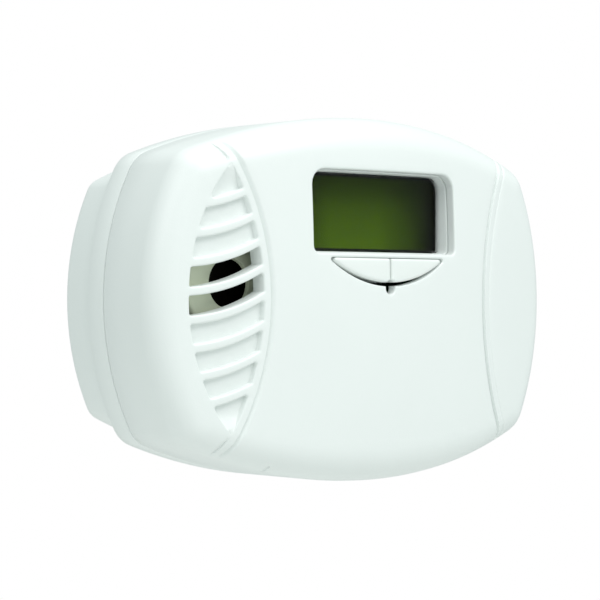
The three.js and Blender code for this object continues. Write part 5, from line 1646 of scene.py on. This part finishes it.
def screw_tree():
    """A pan-head screw with a cross recess and a raised thread."""
    tree, given, result = grown_tree("pan_head_screw", [
        ("Head Radius", "Float", 0.0028), ("Head Height", "Float", 0.002),
        ("Shank Radius", "Float", 0.0015), ("Length", "Float", 0.018),
        ("Turn", "Vector", (-math.pi / 2, 0.0, 0.0)), ("Finish", "Material", None),
    ])
    head, rise = given["Head Radius"], given["Head Height"]
    shank, length = given["Shank Radius"], given["Length"]
    plate = place(tree, "GeometryNodeMeshCylinder", {"Vertices": 40, "Radius": head, "Depth": rise})
    plate = raised(tree, plate.outputs[0], rise, 0.5)
    ball = place(tree, "GeometryNodeMeshUVSphere", {"Segments": 40, "Rings": 20, "Radius": 1.0})
    wide = times(tree, head, DOME_SPREAD)
    dome = moved(tree, ball.outputs[0], scale=vector_of(tree, wide, wide, times(tree, rise, 0.99)))
    cap = shared(tree, plate, dome)
    for x, y in ((RECESS_LONG, RECESS_THIN), (RECESS_THIN, RECESS_LONG)):
        size = vector_of(
            tree, times(tree, head, x), times(tree, head, y), times(tree, rise, 1.1 + 0.1 * x)
        )
        bar = place(tree, "GeometryNodeMeshCube", {"Size": size}).outputs[0]
        cap = less(tree, cap, raised(tree, bar, rise, 1.0))
    core = place(tree, "GeometryNodeMeshCylinder", {
        "Vertices": 20, "Radius": times(tree, shank, CORE_SHARE),
        "Depth": times(tree, length, CORE_LENGTH),
    }).outputs[0]
    core = raised(tree, core, length, CORE_MIDDLE)
    tip = place(tree, "GeometryNodeMeshCone", {
        "Vertices": 20, "Radius Top": times(tree, shank, TIP_SHARE),
        "Radius Bottom": times(tree, shank, CORE_SHARE), "Depth": times(tree, length, TIP_LENGTH),
    }).outputs[0]
    tip = raised(tree, tip, length, -1.0, (math.pi, 0.0, 0.0))
    tip = raised(tree, tip, length, TIP_LENGTH)
    turns = sum_of(tree, "DIVIDE", length, times(tree, shank, THREAD_PITCH))
    ridge = coil(
        tree, times(tree, turns, 0.8), times(tree, shank, THREAD_FOOT),
        times(tree, shank, THREAD_CREST), times(tree, length, THREAD_LENGTH),
        times(tree, shank, THREAD_WIRE), 4, 14,
    )
    ridge = raised(tree, ridge, length, THREAD_END)
    whole = moved(tree, joined(tree, [cap, core, tip, ridge]), turn=given["Turn"])
    on_points(tree, given, result, whole)
    return tree


def spring_tree():
    """A conical contact spring with a closed turn at its base."""
    tree, given, result = grown_tree("contact_spring", [
        ("Coil Radius", "Float", 0.0031), ("Tip Radius", "Float", 0.0019),
        ("Wire Radius", "Float", 0.00035), ("Turns", "Float", 3.5), ("Length", "Float", 0.0033),
        ("Turn", "Vector", (0.0, math.pi / 2, 0.0)), ("Finish", "Material", None),
    ])
    wire, wide, narrow = given["Wire Radius"], given["Coil Radius"], given["Tip Radius"]
    body = coil(tree, given["Turns"], wide, narrow, given["Length"], wire, 10)
    base = coil(tree, 1.0, wide, wide, 0.0, wire, 10)
    on_points(tree, given, result, moved(tree, joined(tree, [base, body]), turn=given["Turn"]))
    return tree


def bead_tree():
    """One soft bead, scaled on three axes, for grip ribs and solder joints."""
    tree, given, result = grown_tree("soft_bead", [
        ("Half Size", "Vector", (0.001, 0.001, 0.001)), ("Finish", "Material", None),
    ])
    ball = place(tree, "GeometryNodeMeshUVSphere", {"Segments": 20, "Rings": 10, "Radius": 1.0})
    on_points(tree, given, result, moved(tree, ball.outputs[0], scale=given["Half Size"]))
    return tree


def grown(name, tree, points, sizes, slot, body="case", nodes=(), sharp=40):
    """Runs a tree on points in millimetres and keeps the result as a mesh."""
    mesh = bpy.data.meshes.new(name)
    mesh.from_pydata([tuple(v * MM for v in p) for p in points], [], [])
    piece = linked(name, mesh)
    step = piece.modifiers.new("grow", "NODES")
    step.node_group = tree
    values = {**sizes, "Finish": finishes[slot]}
    for item in tree.interface.items_tree:
        if item.in_out == "INPUT" and item.name in values:
            step[item.identifier] = values[item.name]
    piece.data = made = evaluated(piece, step)
    made.materials.clear()
    made.materials.append(finishes[slot])
    made.polygons.foreach_set("material_index", [0] * len(made.polygons))
    made.shade_smooth()
    made.set_sharp_from_angle(angle=math.radians(sharp))
    settle(piece, body, slot, *nodes)


# Head radius, head height, shank radius, length; then how many of each kind,
# and whether the head faces the wall (1) or the front (-1).
CASE_SCREW = (2.8, 2.0, 1.5, 18.0)
SMALL_SCREW = (2.1, 1.4, 1.1, 6.0)
SCREW_KINDS = {
    "case_screw": (CASE_SCREW, 4, 1),
    "board_screw": (SMALL_SCREW, 4, 1),
    "carrier_screw": (SMALL_SCREW, 2, -1),
}
SPRING_WIRE = 0.35
RIB_COUNT, RIB_TOP, RIB_PITCH, RIB_HALF_SIZE = 5, 4.2, 1.7, (8.0, 0.3, 0.45)
JOINT_HALF_SIZE, JOINT_REACH = (0.75, 0.6, 0.75), 0.32
PIN_PITCH, FIRST_PIN = 2.54, 1.5
BOARD_POST_X, BOARD_POST_Z = 40, 26
CASE_POST_BORE, CASE_POST_DEPTH = 1.6, 14.0
BOARD_POST_BORE, BOARD_POST_DEPTH = 1.2, 6.0
POST_EASE = 0.3


def middle_mm(node):
    low, high = box_mm(node)
    return (low + high) / 2


def screws():
    """Case, board and carrier screws from one tree at two settings."""
    tree = screw_tree()
    for kind, ((head, rise, shank, length), count, way) in SCREW_KINDS.items():
        nodes = [f"{kind}_{k + 1}" for k in range(count)]
        points = []
        for node in nodes:
            low, high = box_mm(node)
            x, _, z = middle_mm(node)
            points.append((x, high[1] - rise if way > 0 else low[1] + rise, z))
        sizes = {
            "Head Radius": head * MM, "Head Height": rise * MM, "Shank Radius": shank * MM,
            "Length": length * MM, "Turn": (-way * math.pi / 2, 0.0, 0.0),
        }
        grown(kind + "s", tree, points, sizes, "screw_steel", nodes=nodes, sharp=32)


def springs():
    """The two cell springs, each with its wide end on its contact."""
    tree = spring_tree()
    for node, way in (("battery_spring_1", -1), ("battery_spring_2", 1)):
        low, high = box_mm(node)
        _, y, z = middle_mm(node)
        start = high[0] - SPRING_WIRE if way < 0 else low[0] + SPRING_WIRE
        sizes = {
            "Wire Radius": SPRING_WIRE * MM, "Length": (high[0] - low[0] - 2 * SPRING_WIRE) * MM,
            "Turn": (0.0, way * math.pi / 2, 0.0),
        }
        grown(node + "_coil", tree, [(start, y, z)], sizes, "nickel", nodes=[node])


def grip_ribs(tree):
    """Five ribs across the top of the door, where a thumb pushes."""
    points = [(0, DOOR_FACE_Y, DOOR_TOP - RIB_TOP - RIB_PITCH * k) for k in range(RIB_COUNT)]
    sizes = {"Half Size": tuple(size * MM for size in RIB_HALF_SIZE)}
    grown("door_grip", tree, points, sizes, "case_plastic", body="door")


def solder_joints(tree):
    """Domes on the back of the board below every part with leads."""
    back_y = box_mm("main_board")[1][1]
    leaded = ("film_capacitor", "fuse_resistor", "rectifier", "varistor", "gas_sensor",
              "reservoir_capacitor", "filter_capacitor", "test_switch_body", "peak_switch_body")
    points = []
    for node in leaded:
        low, high = box_mm(node)
        x, _, z = middle_mm(node)
        reach = JOINT_REACH * (high[0] - low[0])
        points += [(x - reach, back_y, z), (x + reach, back_y, z)]
    strip_low, strip_high = box_mm("lcd_contact_strip")
    for x in np.arange(strip_low[0] + FIRST_PIN, strip_high[0], PIN_PITCH):
        points.append((x, back_y, (strip_low[2] + strip_high[2]) / 2))
    sizes = {"Half Size": tuple(size * MM for size in JOINT_HALF_SIZE)}
    grown("solder_joints", tree, points, sizes, "nickel")


def posts(material):
    """The cover's four screw posts and four board posts."""
    piece = Patchwork()
    kinds = (
        (SCREW_X, SCREW_Z, POST_RADIUS, CASE_POST_BORE, cover_high[1], CASE_POST_DEPTH),
        (BOARD_POST_X, BOARD_POST_Z, BOARD_POST_RADIUS, BOARD_POST_BORE, PARTS_Y,
         BOARD_POST_DEPTH),
    )
    for x, z, radius, bore, end, depth in kinds:
        for sx, sz in CORNERS:
            root = front_at(x + radius, z + radius) + 0.6 * WALL
            outer, inner = RoundLoop(sx * x, sz * z, radius), RoundLoop(sx * x, sz * z, bore)
            rings = [
                lifted(outer.loop(0), root), lifted(outer.loop(0), end - POST_EASE),
                lifted(outer.loop(POST_EASE), end), lifted(inner.loop(0), end),
                lifted(inner.loop(0), end - depth),
            ]
            piece.strips(rings)
            piece.cap(rings[0])
            piece.cap(rings[-1])
    settle(piece.finish("cover_posts", material), "case", "case_plastic")


# ---------------------------------------------------------- camera and light


# Metres and watts from here on.
CAMERA_AT, CAMERA_AIM = (-0.36791, -0.43853, -0.00253), (0.65737, 0.75356, 0.00440)
SENSOR_MM, LENS_MM = 36.0, 127.4
ROOM_TINT, ROOM_STRENGTH = (0.89, 1.0, 0.985, 1.0), 0.56
LIGHTS_AIM = (0, -0.03, 0)
SOFTBOXES = {
    "key": ((0.35, -1.4, 1.3), 0.9, 14.6),
    "top": ((-0.1, -0.35, 1.4), 0.9, 7.0),
    "fill": ((-1.3, -0.6, 0.7), 0.8, 3.6),
}
SOFTBOX_HEIGHT = 0.9
FLOOR_HALF, FLOOR_Z = 1.1, -0.46


def look_from():
    """The camera, to the left of the object and level with its middle."""
    camera = linked("camera", bpy.data.cameras.new("camera"))
    camera.data.sensor_width, camera.data.lens = SENSOR_MM, LENS_MM
    camera.data.clip_start, camera.data.clip_end = 0.01, 20.0
    camera.location = CAMERA_AT
    camera.rotation_mode = "QUATERNION"
    camera.rotation_quaternion = Vector(CAMERA_AIM).to_track_quat("-Z", "Y")
    bpy.context.scene.camera = camera


def white_room():
    """White behind the object, and softer light on it from the sides."""
    room = bpy.data.worlds.new("room")
    bpy.context.scene.world = room
    room.use_nodes = True
    tree = room.node_tree
    tree.nodes.clear()
    seen = place(tree, "ShaderNodeBackground", {"Color": WHITE, "Strength": 1.0})
    lit = place(tree, "ShaderNodeBackground", {"Color": ROOM_TINT, "Strength": ROOM_STRENGTH})
    path = place(tree, "ShaderNodeLightPath").outputs["Is Camera Ray"]
    both = place(tree, "ShaderNodeMixShader", {0: path, 1: lit.outputs[0], 2: seen.outputs[0]})
    place(tree, "ShaderNodeOutputWorld", {"Surface": both.outputs[0]})
    bpy.context.scene.view_settings.view_transform = "Standard"


def softbox(name, at, width, watts):
    light = bpy.data.lights.new(name, "AREA")
    light.shape, light.size, light.size_y = "RECTANGLE", width, SOFTBOX_HEIGHT
    light.energy = watts
    lamp = linked(name, light)
    lamp.location = at
    lamp.rotation_mode = "QUATERNION"
    lamp.rotation_quaternion = (Vector(LIGHTS_AIM) - Vector(at)).to_track_quat("-Z", "Y")


def floor():
    """A plain pale floor, well below the object."""
    mesh = bpy.data.meshes.new("floor")
    around = ((-1, -1), (1, -1), (1, 1), (-1, 1))
    corners = [(sx * FLOOR_HALF, sy * FLOOR_HALF, FLOOR_Z) for sx, sy in around]
    mesh.from_pydata(corners, [], [(0, 1, 2, 3)])
    finish, tree, shader = new_finish("pale_floor")
    faint = stretched(tree, noise(tree, object_place(tree), 8.0), 0.3, 0.7, 0.5, 0.6)
    shader.inputs["Base Color"].default_value = srgb(244, 244, 242)
    tree.links.new(faint, shader.inputs["Roughness"])
    mesh.materials.append(finish)
    linked("floor", mesh)


# -------------------------------------------------------------- everything

white, key_white = finishes["case_plastic"], finishes["button_plastic"]
refinish(frame["nodes"])
# The horn disc gets near-black brass as painted shade inside the horn's port.
frame["nodes"]["horn_disc"].data.materials[0] = painted_shade_brass()
front_cover(white)
rear_housing(white)
battery_door(white)
button("test_button", -1, "test_button", key_white)
button("peak_button", 1, "peak_button", key_white)
display_frame(white)
display_pane(finishes["window_plastic"])
display_border(finishes["black_plastic"])
horn(finishes["cream_plastic"])
light_rod(finishes["clear_plastic"])
blade("line_blade", 1, finishes["nickel"])
blade("neutral_blade", -1, finishes["nickel"])
posts(white)
screws()
springs()
soft_bead = bead_tree()
grip_ribs(soft_bead)
solder_joints(soft_bead)

look_from()
white_room()
for name, (at, width, watts) in SOFTBOXES.items():
    softbox(name, at, width, watts)
floor()
